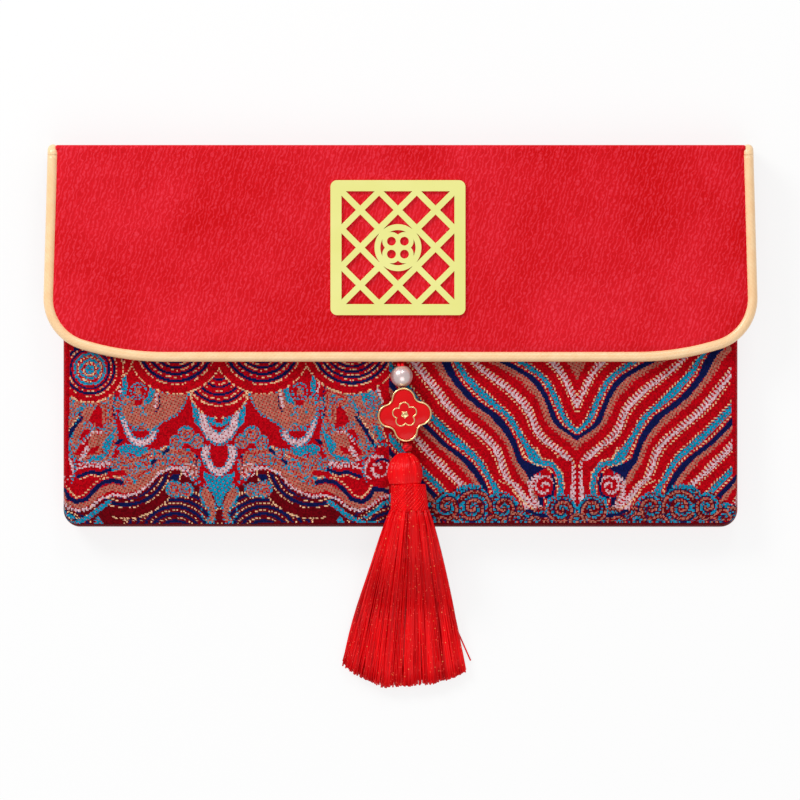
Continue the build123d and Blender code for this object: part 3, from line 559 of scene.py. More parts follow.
    ("line", "white", 0.44, "comb", (30.3, -34.9, 32.8, -35.8, 35.3, -35.4, 38.8, -36.3)),
    ("line", "white", 0.31, "dash", (30.6, -34.4, 33.1, -34.9, 35.6, -34.6, 38.8, -35.4)),
    ("line", "navy", 0.47, "", (29.8, -36.5, 32.8, -37.7, 35, -37.1, 38.6, -38.5)),
    ("line", "cream", 0.22, "dash", (29.8, -37.3, 32.8, -38.5, 35, -37.9, 38.6, -39.3)),
    ("line", "red", 0.69, "", (26.2, -37.4, 28.1, -37.6, 29.8, -37.7)),
    ("ball", "red", 3.71, "", (43.6, -36.2)),
    ("spiral", "white", 3.92, "comb", (43.6, -36.2)),
    ("line", "navy", 0.38, "", (43, -34.4, 44.4, -33.7, 46.5, -34.1)),
    ("line", "teal", 0.31, "dash", (41, -30.8, 39.6, -33.7, 39.4, -36.8, 40.3, -39.9)),
    ("line", "teal", 0.38, "dash", (41.3, -30.2, 44.1, -29.4, 47.3, -30.4)),
]
right_motifs = [
    ("fill", "red", 0, "", (1.6, -34.4, 4.4, -33.5, 10.8, -33.5, 9.9, -38.4, 7.1, -43.9, 1.9, -43.6, 1.3,
     -36.5)),
    ("line", "teal", 0.73, "", (12.6, -31.4, 11.1, -32.9, 9.9, -34.6, 6.5, -35.2, 4.8, -37.8, 4.2, -41.4, 4.7,
     -43.6)),
    ("line", "cream", 0.21, "dash", (11.1, -30.4, 9.9, -33.5, 7.1, -33.9, 4.1, -37.2, 3.4, -42)),
    ("line", "cream", 0.21, "dash", (14.4, -32.9, 11.7, -35, 8, -36.1, 5.7, -39, 5.4, -42.7)),
    ("fill", "navy", 0, "", (8.6, -36.1, 12.6, -34.9, 16, -32.9, 16, -34.1, 14.4, -36.5, 12.6, -38.2, 10.8,
     -37.5)),
    ("ball", "red", 3.05, "", (9.1, -41.1)),
    ("spiral", "white", 3.21, "comb", (9.1, -41.1)),
    ("line", "navy", 0.37, "", (6.8, -37.8, 6, -40.2, 6.7, -43.4, 8.6, -44.2)),
    ("line", "white", 0.73, "comb", (11.1, -38.5, 12.8, -39.9, 12.6, -43.6, 10.5, -46.6)),
    ("line", "white", 0.67, "comb", (19.3, -39, 16.6, -41.1, 15.1, -43.3, 13.2, -45.1, 10.8, -47.5)),
    ("line", "cream", 0.21, "dash", (21.2, -39.6, 18.7, -40.8, 16.3, -43.6, 13.8, -46, 10.2, -48.5)),
    ("fill", "cloud", 0, "", (-1.4, -44.5, 0.7, -46.3, 2.8, -44.2, 5.9, -43.9, 8.3, -46.3, 13.8, -47.8, 16.9,
     -45.1, 20.5, -42.7, 24.2, -43.3, 27.3, -40.8, 31.5, -40.8, 34.6, -42.7, 37.6, -43.9, 41.3, -45.7, 44.4,
     -46.9, 44.4, -52.4, -1.4, -52.4)),
    *[("spiral", "cloud", size, "", centre) for size, *centre in (
        (3.97, 4.2, -47.5), (2.9, 11.7, -51.5), (3.66, 20.2, -46.9), (5.5, 28.5, -46.9),
        (4.12, 35.5, -46.6), (2.9, 40.4, -49.7), (2.44, 16.9, -50.6), (2.75, 23, -51.2), (2.44, 0.4, -50.9),
        (2.44, 34, -51.5),
    )],
    ("line", "navy", 0.43, "", (8.3, -49.4, 11.1, -48.8, 13.8, -47.7)),
    ("line", "teal", 0.27, "dash", (1, -45.7, 2.5, -43.6, 5, -43.4, 7.7, -45.4, 8.6, -48.2)),
    ("line", "teal", 0.27, "dash", (16.3, -45.7, 17.5, -44.2, 19.9, -42.7, 22.4, -43, 23.9, -44.2)),
    ("line", "teal", 0.27, "dash", (24.8, -43.3, 26.3, -41.1, 29.1, -40.7, 31.5, -41.1, 33.4, -43)),
    ("line", "teal", 0.27, "dash", (33.7, -43.6, 35.5, -42.7, 37.3, -43.9, 38.6, -45.7, 40.7, -46.6, 42.2,
     -48.8)),
]
stripe_lines = {
    -0.24: (10.8, 9.2, 8, 1.6, 1.9, -6.9, 0, -10.3, -2, -14, -11.2, -30.4, -20.4, -51.8),
    0: (14.4, 9.2, 11.1, 1.6, 6.2, -6.9, 5, -8.5, 3.4, -10.9, 2.2, -13.7, 1, -16.1, 0, -18.2, -2, -22.2, -8.2,
     -30.4, -14.3, -51.8),
    0.62: (33.1, 6.2, 23.9, -3.3, 19, -6.9, 15.7, -8.8, 12.6, -10.6, 10.2, -12.7, 8.3, -16.1, 7.1, -18.8, 5.9,
     -21.9, 4.4, -24.3, 2.2, -25.9, 0, -27.4, -2, -29.2, -4.5, -33.5, -8.2, -51.8),
    0.76: (36.7, 6.8, 27.3, -2.7, 22.4, -7.2, 20.5, -8.2, 17.5, -9.7, 14.1, -11.8, 11.4, -14.6, 9.6, -17.3,
     8.3, -20.7, 7.4, -23.7, 5.3, -25.6, 2.5, -27.4, 0, -29.2, -2, -31.4, -3.9, -36.5, -5.1, -51.8),
    0.87: (40.4, 7.3, 30.9, -1.7, 25.3, -7.2, 18.1, -11.8, 12.3, -17.3, 10.5, -20.7, 9.3, -23.7, 6.2, -27.4,
     3.9, -29.2, 1.3, -31.7, 0.2, -33.5, -0, -36.5, -0, -51.8),
    1: (43.7, 7.7, 35.5, -0.8, 28.2, -6.9, 24.8, -10, 21.2, -12.4, 17.8, -14.9, 15.4, -17, 13.2, -19.8, 12,
     -22.5, 11.1, -25.6, 9.6, -27.7, 7.4, -29.5, 4.7, -31.1, 2.5, -32.9, 1.2, -34.4, 0.6, -36.5, 0.6, -39.6,
     0.5, -51.8),
    1.62: (47.4, 9.2, 38.6, -1.1, 34.9, -6.9, 33.4, -10.6, 31.2, -13.7, 28.5, -16.7, 24.8, -19.5, 21.2, -21.9,
     18.4, -25.6, 16.9, -28.6, 16, -31.4, 15.1, -34.4, 12.6, -36.9, 10.8, -40.2, 9.6, -44.2, 8.6, -51.8),
    2: (56, 8.6, 48, -1.7, 43.4, -8.2, 40.7, -11.5, 37.9, -14.9, 35.2, -18.8, 32.1, -21.9, 28.5, -24.6, 24.8,
     -27.4, 21.8, -30.4, 20.5, -33.5, 20.2, -35.9, 19, -39, 16.3, -41.1, 13.8, -44.5, 11.1, -51.8),
    2.62: (68.2, 7.7, 56, -6, 49.9, -13.7, 45.6, -19.1, 42.2, -22.8, 39.2, -26.2, 35.8, -29.5, 32.1, -32,
     28.8, -34.7, 26.3, -38.1, 24.8, -41.1, 23.9, -45.7, 23.3, -51.8),
    3: (71.2, 3.1, 59, -10.6, 52.9, -17.6, 46.8, -24.6, 42.8, -28.6, 40.7, -31.4, 37.6, -34.4, 34.6, -37.5,
     31.5, -40.2, 29.1, -44.2, 27, -51.8),
    3.62: (80.4, 1.6, 65.1, -14.9, 56, -25.6, 49.9, -32.3, 46.2, -35.6, 43.4, -38.4, 40.7, -41.1, 38.3, -43.6,
     36.1, -47.2, 34.6, -51.8),
    4: (86.5, -1.4, 71.2, -17.6, 60.5, -28.6, 52.9, -35.6, 48, -39.9, 45.6, -42.7, 43.1, -45.7, 41.3, -48.8,
     40.1, -51.8),
    4.62: (95.7, -3, 80.4, -19.8, 68.2, -32, 59, -39.6, 52.9, -45.1, 49.9, -48.8, 48.3, -51.8),
}
scale_a = [(CREAM, 10.9, 11.25), (NAVY, 9.7, 10.6), (CREAM, 8.9, 9.2), (NAVY, 7.8, 8.6), (CREAM, 7.0, 7.35),
           (NAVY, 6.1, 6.8), (CREAM, 5.55, 5.85), (NAVY, 4.9, 5.4), (TEAL, 0, 4.3)]
scale_b = [(CREAM, 11.25, 11.6), (NAVY, 10.3, 11.1), (CREAM, 9.65, 9.95), (NAVY, 8.8, 9.5), (CREAM, 8.4, 8.7),
           (NAVY, 7.3, 8.0), (CREAM, 6.8, 7.1), (NAVY, 5.9, 6.5), (CREAM, 5.4, 5.7), (TEAL, 0, 5.0)]
scale_between = [(NAVY, 8.2, 8.9), (CREAM, 7.5, 7.8), (NAVY, 6.2, 6.9), (CREAM, 5.4, 5.7), (NAVY, 4.2, 4.8),
                 (CREAM, 3.5, 3.8), (NAVY, 2.2, 2.8)]
scale_low = [(NAVY, 11.3, 12.2), (CREAM, 12.5, 12.8), (NAVY, 9.6, 10.4), (CREAM, 10.7, 11.0)]
scale_edge = [(TEAL, 0, 1.3), (CREAM, 1.5, 1.9), (TEAL, 2.1, 2.9), (CREAM, 3.1, 3.5), (TEAL, 3.7, 4.5),
              (NAVY, 5.0, 5.6), (CREAM, 5.8, 6.1), (NAVY, 6.3, 7.0), (CREAM, 7.25, 7.55)]
hill = [(thread, 5.3 + 1.95 * step + inner, 5.3 + 1.95 * step + outer) for step in range(5)
        for thread, inner, outer in ((NAVY, 0, 0.85), (CREAM, 1.2, 1.5))]

left_axis, right_axis, halves_meet = -49.64, 48.3, -3.0
low_scales = [((12.1, -56.3), hill, 14.8), ((47.9, -57.8), hill, 12.0), ((25.6, -34.4), scale_low, 15.5)]
mirror_scales = [((0, -14.45), [], 7.9), ((0, -9.5), scale_between, 9.6)]
edge_scale = ((-85.0, -9.05), scale_edge, 9.1)
first_u, first_v, scale_step, scale_rise, scale_reach = 11.8, -2.16, 24.5, 12.5, 13.6
side_bare, y_bare, bare_run, hem_turn = 0.4, -38.0, 35.0, 0.5


def dye_stitches(x, y, seed):
    """Linear colours of the stitches at x and y: both repeats woven, tied down with red, each stitch darkened
    or lightened at random, partly for uneven dye and partly as painted shade in the gaps between stitches.

    Towards the mouth the figures stop short of both sides, and the red ground shows there as a plain edge.
    Where the cloth turns under the front's lower edge it is plain dark red.
    """
    left, u = np.full(x.shape, DEEP), np.abs(x - left_axis)
    for scale in low_scales:
        weave_scale(left, u, y, *scale, DEEP)
    weave_motifs(left, u, y, left_motifs)
    for scale in mirror_scales:
        weave_scale(left, u, y, *scale)
    for row in range(5):
        for place in range(-1, 3):
            centre = (first_u + scale_step * (place + 0.5 * (row % 2)), first_v + scale_rise * row)
            weave_scale(left, u, y, centre, scale_b if (place + row) % 2 else scale_a, scale_reach)
    weave_scale(left, x, y, *edge_scale)
    u = np.abs(x - right_axis)
    right = weave_stripes(u, y, stripe_lines)
    weave_motifs(right, u, y, right_motifs)
    threads = np.where(x < halves_meet, left, right)
    woven_half = panel_half - side_bare * np.clip((y - y_bare) / bare_run, 0, 1)
    threads[(y > y_bare) & (np.abs(x) > woven_half)] = RED
    threads[y < y_panel - hem_turn] = DEEP
    column, row = np.floor(x / stitch_mm), np.floor(y / stitch_mm)
    threads[((column + 2 * row) % 5 == 0) & (threads == TAN)] = RED
    threads[((column + 3 * row) % 8 == 0) & np.isin(threads, [TEAL, WHITE])] = RED
    # Painted shade between stitches, mixed with uneven dye: each stitch darkened or lightened at random.
    uneven_dye_and_shade = np.random.default_rng(seed).uniform(0.54, 1.16, (*threads.shape, 1))
    return np.array([linear(colour) for colour in thread_colours.values()])[threads] * uneven_dye_and_shade


def paint_stitches(mesh, colours):
    """Stores one colour for each of the mesh's first faces and plain red for the rest."""
    plain = np.broadcast_to(linear(thread_colours["red"]), (len(mesh.polygons) - len(colours), 4))
    layer = mesh.attributes.new("stitch", "FLOAT_COLOR", "FACE")
    layer.data.foreach_set("color", np.concatenate([colours, plain]).astype(np.float32).ravel())


# Brocade: a satin ground with a dull silk shine and a fine rib at every second stitch in each direction.
brocade, tree, place = start_finish("jacquard_silk_brocade", Roughness=0.6, Specular_IOR_Level=0.03)
add_node(tree, "ShaderNodeAttribute", attribute_name="stitch", to="Base Color")
ribs = [add_node(tree, "ShaderNodeTexWave", {"Vector": place, "Scale": 1000 / (2 * stitch_mm) * wave_turn},
                 bands_direction=way) for way in "XY"]
weave = add_node(tree, "ShaderNodeMath", dict(enumerate(ribs)), operation="MAXIMUM")
add_node(tree, "ShaderNodeBump", {"Height": weave, "Strength": 0.35, "Distance": 0.00012}, to="Normal")

# The cloth's grid has one face for a stitch where it shows, and longer rows under the flap. A wall round its
# outline and one face at the back close it.
brocade_thick, z_brocade, y_shown = 0.8, 9.2, -4.0
y_rows = np.concatenate([np.arange(y_panel, y_shown, stitch_mm), np.linspace(y_shown, y_mouth, 52)])
half_rows = round_ended(panel_half, y_rows, y_panel, panel_corner)
x_grid = np.linspace(-1, 1, round(2 * panel_half / stitch_mm) + 1) * half_rows[:, None]
y_grid = np.broadcast_to(y_rows[:, None], x_grid.shape)
index = np.arange(x_grid.size).reshape(x_grid.shape)
rim = np.concatenate([index[0, :-1], index[:-1, -1], index[-1, :0:-1], index[:0:-1, 0]])
wall = x_grid.size + np.arange(len(rim))
face_points = np.stack([x_grid, y_grid, np.full_like(x_grid, z_brocade)], -1).reshape(-1, 3)
quads = cell_corners(index[None]).reshape(-1, 4)
walls = np.stack([rim, wall, np.roll(wall, -1), np.roll(rim, -1)], -1)
mesh = bpy.data.meshes.new("front_brocade")
mesh.from_pydata(np.concatenate([face_points, face_points[rim] - [0, 0, brocade_thick]]) * 0.001, [],
                 [*quads.tolist(), *walls.tolist(), wall[::-1].tolist()])
stitches = dye_stitches((x_grid[:-1, :-1] + x_grid[1:, 1:]) / 2, (y_grid[:-1, :-1] + y_grid[1:, 1:]) / 2, 3)
paint_stitches(mesh, stitches.reshape(-1, 4))
mesh.materials.append(brocade)
front = add_object("front_brocade", mesh)

# The cloth's edge is carried over the seam and down the gusset to its fold, where it is sewn.
cloth_gap, cloth_thin, z_seam, z_turn, lap = 0.02, 0.12, 9.24, 9.0, -0.15
length = length_along(gusset_path)
stations = np.linspace(0, length[-1], round(length[-1] / stitch_mm))
edge_path = np.stack([np.interp(stations, length, gusset_path[:, axis]) for axis in range(3)], -1)
fall = np.linspace(z_turn, (gusset_low + gusset_high) / 2, 13)
out = gusset_wall + gusset_bulge(fall) + cloth_gap
edge_section = np.concatenate([
    [(z_seam, lap), (z_seam, gusset_wall - 0.3), (z_seam - cloth_gap, gusset_wall)],
    np.stack([fall, out + cloth_thin], -1),
    np.stack([fall, out], -1)[::-1],
    [(z_seam - cloth_thin, gusset_wall - 0.05), (z_seam - cloth_thin, lap)],
])
edge = build_piece("front_brocade_edge", tube_along(edge_path, edge_section, vertical), brocade)
unrolled = lap + length_along(edge_section)
laid_flat = tube_along(edge_path, np.stack([0 * unrolled, unrolled + stitch_mm / 2], -1), vertical)
paint_stitches(edge.data, dye_stitches(laid_flat[:-1, :, 0], laid_flat[:-1, :, 1], 4).reshape(-1, 4))
for cloth in (front, edge):
    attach(cloth, "pouch")
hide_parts("front_panel")


# Flap leather: one piece of leatherette, sewn to the back as a yoke, folded up over the top edge as a spine
# and folded again into the flap. It is modelled in two lengths that meet in the middle of the spine.
y_fold, z_low_fold, z_high_fold, z_spine_seam = 51.75, 0.4, 12.8, 6.6
fold_radius, fold_reach, yoke_half, spine_half, y_widen = 1.0, 0.9, 90.9, 93.3, 48.0
y_flap_edge, flap_corner, corner_x, corner_y = -7.05, 14.5, 83.0, 10.22
belly, belly_x, belly_turn, flare = 78.0, 64.43, np.radians(17.0), np.radians(1.6)


def flap_side(y, corner):
    """Half the flap's width at y on its flared side, a straight line on from a corner arc of that radius."""
    return corner_x + corner * np.cos(flare) - (y - corner_y - corner * np.sin(flare)) * np.tan(flare)


def flap_half(y, inset):
    """Half the flap's width at y for an edge moved inwards: flared side, then corner arc, then belly arc."""
    corner, long_arc = flap_corner - inset, belly - inset
    rounded = corner_x + np.sqrt(np.clip(corner**2 - (y - corner_y) ** 2, 0, None))
    low = belly_x + np.sqrt(np.clip(long_arc**2 - (y_flap_edge + belly - y) ** 2, 0, None))
    half = np.where(y > corner_y + corner * np.sin(flare), flap_side(y, corner), rounded)
    return np.where(y < corner_y - corner * np.cos(belly_turn), low, half)


def flap_rows(y_start, inset, rows):
    """Y values from the top of the flap to its lower edge, close together round the corner and the belly."""
    corner, long_arc = flap_corner - inset, belly - inset
    y_round = corner_y + corner * np.sin(np.linspace(flare, belly_turn - np.pi / 2, 26))
    y_low = y_flap_edge + belly - long_arc * np.cos(np.linspace(belly_turn, 0, 14))
    return np.concatenate([np.linspace(y_start, y_round[0], rows)[:-1], y_round[:-1], y_low])


def flap_depth(x, y):
    """Distance inwards from the flap's edge: its side, corner arc, belly arc or straight bottom."""
    x = np.abs(x)
    to_corner = flap_corner - np.hypot(x - corner_x, y - corner_y)
    to_belly = belly - np.hypot(x - belly_x, y_flap_edge + belly - y)
    side = (flap_side(y, flap_corner) - x) * np.cos(flare)
    bottom = np.where(x < belly_x, y - y_flap_edge, to_belly)
    slant = (x - corner_x) * np.cos(belly_turn) - (corner_y - y) * np.sin(belly_turn)
    rounded = np.where((x > corner_x) & (y < corner_y), to_corner, side)
    low = np.where((slant < 0) | (y > corner_y), bottom, to_corner)
    return np.minimum(low, np.where(y < corner_y, rounded, side))


y_bend, bend_rows, spine_rows = y_fold - fold_radius, 9, 8
yoke_path = np.concatenate([
    np.linspace((y_yoke, z_low_fold), (y_bend, z_low_fold), 16)[:-1],
    arc_points((y_bend, z_low_fold + fold_radius), fold_radius, -90, 90, bend_rows),
    np.linspace((y_fold, z_low_fold + fold_radius), (y_fold, z_spine_seam), spine_rows)[1:],
])
widen = np.clip((yoke_path[:, 0] - y_widen) / (y_fold - y_widen), 0, 1) ** 2
yoke_points = sheet_along(yoke_path, yoke_half + (spine_half - yoke_half) * widen, leather_thick, 64)
yoke = build_piece("flap_leather_yoke", yoke_points, leatherette)
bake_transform(yoke)
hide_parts("flap_yoke")

# The cover's edge is tucked down into the piping's seam, which leaves a soft roll along it. Over the board
# the leather swells and sinks a little in slow waves, which die away towards the fold.
cover_inset, roll_width, roll_drop, swell_rise, swell_fade = 2.2, 1.3, 0.5, 0.06, 10.0
cover_y = flap_rows(y_bend, cover_inset, 44)
cover_path = np.concatenate([
    np.linspace((y_fold, z_spine_seam), (y_fold, z_high_fold - fold_radius), spine_rows)[:-1],
    arc_points((y_bend, z_high_fold - fold_radius), fold_radius, 0, 90, bend_rows),
    np.stack([cover_y, np.full_like(cover_y, z_high_fold)], -1)[1:],
])
top_half = float(flap_half(np.array(y_bend), cover_inset))
spine_widen = np.interp(cover_path[:, 1], [z_spine_seam, z_high_fold - fold_radius], [spine_half, top_half])
cover_half = np.where(cover_path[:, 1] < z_high_fold, spine_widen, flap_half(cover_path[:, 0], cover_inset))
cover_points = sheet_along(cover_path, cover_half, leather_thick, 160)
on_flap = np.arange(len(cover_path)) >= spine_rows + bend_rows - 2
x, y = cover_points[..., 0], cover_points[..., 1]
tuck = np.exp(-(np.clip(flap_depth(x, y) - cover_inset, 0, None) / roll_width) ** 2)
swell = swell_rise * np.sin(x / 17 + 0.6 * np.sin(y / 11)) * np.sin(y / 13 + 1)
swell *= np.clip((y_fold - y) / swell_fade, 0, 1)
cover_points[..., 2] += np.where(on_flap[:, None], swell - roll_drop * tuck, 0)
cover = build_piece("flap_leather_cover", cover_points, leatherette)
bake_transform(cover)
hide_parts("spine_cover", "flap_cover")


# Flap linings: the pocket's red cloth again, glued under the flap and carried round the inside of the spine.
# It is modelled in two lengths that meet under the flap, near the fold.
z_flap_lining, flap_lining_thick, y_lining_join, lining_bend = 11.4, 0.4, 46.0, 0.8
y_spine_lining, z_lining_end, spine_lining_half, flap_lining_inset = 51.15, 1.1, 92.6, 2.6
y_turn, z_turn = y_spine_lining - lining_bend, z_flap_lining - lining_bend
spine_path = np.concatenate([
    np.linspace((y_spine_lining, z_lining_end), (y_spine_lining, z_turn), 10)[:-1],
    arc_points((y_turn, z_turn), lining_bend, 0, 90, 9),
    np.linspace((y_turn, z_flap_lining), (y_lining_join, z_flap_lining), 8)[1:],
])
spine_points = sheet_along(spine_path, spine_lining_half, flap_lining_thick, 40)
spine_cloth = build_piece("spine_lining_cloth", spine_points, lining)
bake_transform(spine_cloth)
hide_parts("spine_lining")

lining_y = flap_rows(y_lining_join, flap_lining_inset, 30)
lining_path = np.stack([lining_y, np.full_like(lining_y, z_flap_lining)], -1)
lining_points = sheet_along(lining_path, flap_half(lining_y, flap_lining_inset), flap_lining_thick, 80)
flap_cloth = build_piece("flap_lining_cloth", lining_points, lining)
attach(flap_cloth, "flap")
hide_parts("flap_lining")


# Piping: a cotton cord covered with cream satin cut on the bias, sewn into the flap's edge all round.
# At each top corner it turns down over the fold and runs along the end of the spine.
def ring(radius, sides):
    """The points of a regular many-sided ring, counter-clockwise."""
    angle = np.linspace(0, 2 * np.pi, sides, endpoint=False)
    return radius * np.stack([np.cos(angle), np.sin(angle)], -1)


def lay_cord(name, path, radius, up, finish, girth, sides):
    """A round cord along paths, a ring carried along each; its UV map is in mm along it and round it."""
    run, turn = np.broadcast_arrays(length_along(path)[..., None], np.linspace(0, girth, sides + 1))
    return build_piece(name, tube_along(path, ring(radius, sides), up), finish, uv=np.stack([run, turn], -1))


# Satin: smooth and shiny, with faint slanting lines from its twill and slow puckers where it goes round the
# cord. Both are bumps, and both are also painted into the colour: painted shade in darker twill lines, and
# painted shade and highlight in darker and paler patches over the puckers.
twill_mm, pucker_mm, slanting = 0.9, 3.5, 1.4
satin, tree, along = start_finish("cream_bias_satin", uv="UVMap", Roughness=0.28, Specular_IOR_Level=0.6)
twill_and_shade = add_node(tree, "ShaderNodeTexWave", {
    "Vector": along, "Scale": 1 / twill_mm * wave_turn * slanting, "Distortion": 0.6, "Detail": 1.0,
}, bands_direction="DIAGONAL")
pucker_and_shade = add_node(tree, "ShaderNodeTexNoise", {"Vector": along, "Scale": 1 / pucker_mm, "Detail": 3.0})
# Painted shade and highlight over the puckers, and painted shade in the twill lines.
tone = add_node(tree, "ShaderNodeValToRGB", {"Fac": pucker_and_shade}, [(0.3, "f8cb97"), (0.7, "fdd8a8")])
threads = add_node(tree, "ShaderNodeValToRGB", {"Fac": twill_and_shade}, [(0.0, "f6efe8"), (0.6, "ffffff")])
add_node(tree, "ShaderNodeMixRGB", {0: 0.3, 1: tone, 2: threads}, blend_type="MULTIPLY", to="Base Color")
relief = add_node(tree, "ShaderNodeMath", {0: twill_and_shade, 1: pucker_and_shade}, operation="ADD")
add_node(tree, "ShaderNodeBump", {"Height": relief, "Strength": 0.04, "Distance": 0.0001}, to="Normal")

piping_radius, z_piping, y_piping_end, piping_sides = 1.45, 12.0, 49.35, 20
piping_girth = 2 * np.pi * piping_radius
edge_radius, y_low = flap_corner - piping_radius, y_flap_edge + piping_radius
belly_centre = (belly_x, y_flap_edge + belly)
flare_angle, belly_angle = np.degrees(flare), np.degrees(belly_turn)
edge_y = np.linspace(y_piping_end, corner_y + edge_radius * np.sin(flare), 40)
half_edge = np.concatenate([
    np.stack([flap_half(edge_y, piping_radius), edge_y], -1)[:-1],
    arc_points((corner_x, corner_y), edge_radius, flare_angle, belly_angle - 90 - flare_angle, 24)[:-1],
    arc_points(belly_centre, belly - piping_radius, belly_angle - 90, -belly_angle, 14)[:-1],
    np.linspace((belly_x, y_low), (0, y_low), 30),
])
edge_path = np.concatenate([half_edge, half_edge[-2::-1] * [-1, 1]])
edge_path = np.column_stack([edge_path, np.full(len(edge_path), z_piping)])
piping = lay_cord("flap_piping_cord", edge_path, piping_radius, vertical, satin, piping_girth, piping_sides)
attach(piping, "flap")
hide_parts("flap_piping")

corner_bend, y_spine_piping, z_piping_low = 1.3, 50.95, 0.2
y_turn, z_turn = y_spine_piping - corner_bend, z_piping - corner_bend
spine_x = flap_half(np.array(y_piping_end), piping_radius)
end_yz = np.concatenate([
    np.linspace((y_spine_piping, z_piping_low), (y_spine_piping, z_turn), 10)[:-1],
    arc_points((y_turn, z_turn), corner_bend, 0, 90, 9),
    [(y_piping_end, z_piping)],
])
corner_path = np.stack([np.column_stack([np.full(len(end_yz), side * spine_x), end_yz]) for side in (-1, 1)])
end_piping = lay_cord("spine_piping_cord", corner_path, piping_radius, np.array([1.0, 0, 0]), satin,
                      piping_girth, piping_sides)
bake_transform(end_piping)
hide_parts("spine_piping")


# Fretwork plate: sheet brass, cut right through in a trellis round a medallion, plated pale gold with a satin
# surface and glued to the middle of the flap. The cut edges are eased, so they catch a thin line of light.
brush_mm, brush_stretch, haze_mm = 0.35, 0.06, 12.0
plate_gold, tree, place = start_finish("satin_pale_gold_plate", Metallic=0.35, Roughness=0.34)
stretch = add_node(tree, "ShaderNodeMapping", {"Vector": place, "Scale": (brush_stretch, 1.0, 1.0)})
brush = add_node(tree, "ShaderNodeTexNoise", {"Vector": stretch, "Scale": 1000 / brush_mm, "Detail": 3.0})
haze = add_node(tree, "ShaderNodeTexNoise", {"Vector": place, "Scale": 1000 / haze_mm, "Detail": 2.0})
add_node(tree, "ShaderNodeValToRGB", {"Fac": haze}, [(0.3, "f2f08e"), (0.7, "f8f69c")], to="Base Color")
add_node(tree, "ShaderNodeBump", {"Height": brush, "Strength": 0.12, "Distance": 0.00005}, to="Normal")

plate_mesh = cad_nodes["lattice_plate"].data.copy()
plate_mesh.name = "fretwork_plate"
coat(plate_mesh, plate_gold)
plate = add_object("fretwork_plate", plate_mesh)
weld = plate.modifiers.new("weld", "WELD")
weld.merge_threshold = 0.00001
flatten = plate.modifiers.new("flatten", "DECIMATE")
flatten.decimate_type, flatten.angle_limit = "DISSOLVE", np.radians(1.0)
ease = plate.modifiers.new("ease", "BEVEL")
ease.width, ease.segments, ease.limit_method, ease.angle_limit = 0.00014, 2, "ANGLE", np.radians(40)
ease.harden_normals = True
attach(plate, "flap")
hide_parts("lattice_plate")


# Hanging cord: a twisted red silk cord laid double, sewn into the flap's seam behind the piping, brought
# round under it and threaded through the pearl and the charm.
pivot, lean = np.array([-0.1, -5.6, 0.0]), np.radians(4.5)
down = np.array([np.sin(lean), -np.cos(lean), 0.0])
sideways = np.array([np.cos(lean), np.sin(lean), 0.0])
cord_radius, cord_wrap, z_beads, strand_sides = 0.5, 2.0, 12.5, 10
s_pearl, pearl_radius, s_charm, charm_half_span, s_knot = 5.45, 3.0, 15.95, 7.4, 24.87
cord_girth = 2 * np.pi * cord_radius


def hang(station, aside, z):
    """Points on the pendant: station down its leaning axis, aside square to it, at height z."""
    station, aside, z = (value[..., None] for value in np.broadcast_arrays(station, aside, z))
    return pivot + station * down + aside * sideways + z * vertical


# Silk cord: two plies twisted together, with painted shade darker in the groove between them.
ply_mm = 1.6
silk_cord, tree, along = start_finish("twisted_red_silk_cord", uv="UVMap", Roughness=0.4,
                                      Specular_IOR_Level=0.2)
plies_and_groove_shade = add_node(tree, "ShaderNodeTexWave", {"Vector": along, "Scale": 1 / ply_mm * wave_turn * slanting},
                 bands_direction="DIAGONAL")
# Painted shade: dark red in the groove between the plies.
add_node(tree, "ShaderNodeValToRGB", {"Fac": plies_and_groove_shade}, [(0.1, "b00210"), (0.8, "f0101c")], to="Base Color")
add_node(tree, "ShaderNodeBump", {"Height": plies_and_groove_shade, "Strength": 0.6, "Distance": 0.0001}, to="Normal")

strand = (silk_cord, cord_girth, strand_sides)
leave = np.radians(-58.0)
wrap = np.linspace(np.radians(-150), leave, 16)
strand_aside = np.array([-0.48, 0.48])[:, None]
tail_path = hang(cord_wrap * np.cos(wrap), strand_aside, z_piping + cord_wrap * np.sin(wrap))
cord_tail = lay_cord("cord_round_piping", tail_path, cord_radius, sideways, *strand)
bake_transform(cord_tail)
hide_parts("cord_tail")

# It climbs from the piping to the beads' height and ends just inside the pearl's far end.
climb_run, inside_pearl, inside_charm = 2.2, 0.06, 0.12
s_leave, z_leave = cord_wrap * np.cos(leave), z_piping + cord_wrap * np.sin(leave)
s_end = s_pearl + pearl_radius - inside_pearl
cord_s = s_leave + (s_end - s_leave) * np.linspace(0, 1, 18)
climb = np.clip((cord_s - s_leave) / climb_run, 0, 1)
cord_z = z_leave + (z_beads - z_leave) * climb**1.2 * (2 - climb)
cord_path = hang(cord_s, strand_aside, np.minimum(cord_z, z_beads))
hanging_cord = lay_cord("hanging_cord", cord_path, cord_radius, sideways, *strand)
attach(hanging_cord, "pendant")
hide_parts("pendant_cord")

charm_s = np.linspace(s_charm - charm_half_span + inside_charm, s_charm + charm_half_span, 24)
charm_run = hang(charm_s, strand_aside, z_beads)
charm_cord = lay_cord("cord_through_charm", charm_run, cord_radius, sideways, *strand)
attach(charm_cord, "charm")
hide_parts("charm_cord")


# Pearl: a 6 mm imitation pearl, glass coated with nacre lacquer and drilled through, free to turn on the
# cord. The lacquer has a soft shine. Its colour is tinted pink as a painted reflection of the red leather and
# cloth round it, and the tint varies a little at random.
tint_mm = 5.0
nacre, tree, place = start_finish("white_nacre_lacquer", Metallic=0.7, Roughness=0.3, Coat_Weight=0.3,
                                  Coat_Roughness=0.18)
pink_reflection_tint = add_node(tree, "ShaderNodeTexNoise", {"Vector": place, "Scale": 1000 / tint_mm, "Detail": 2.0})
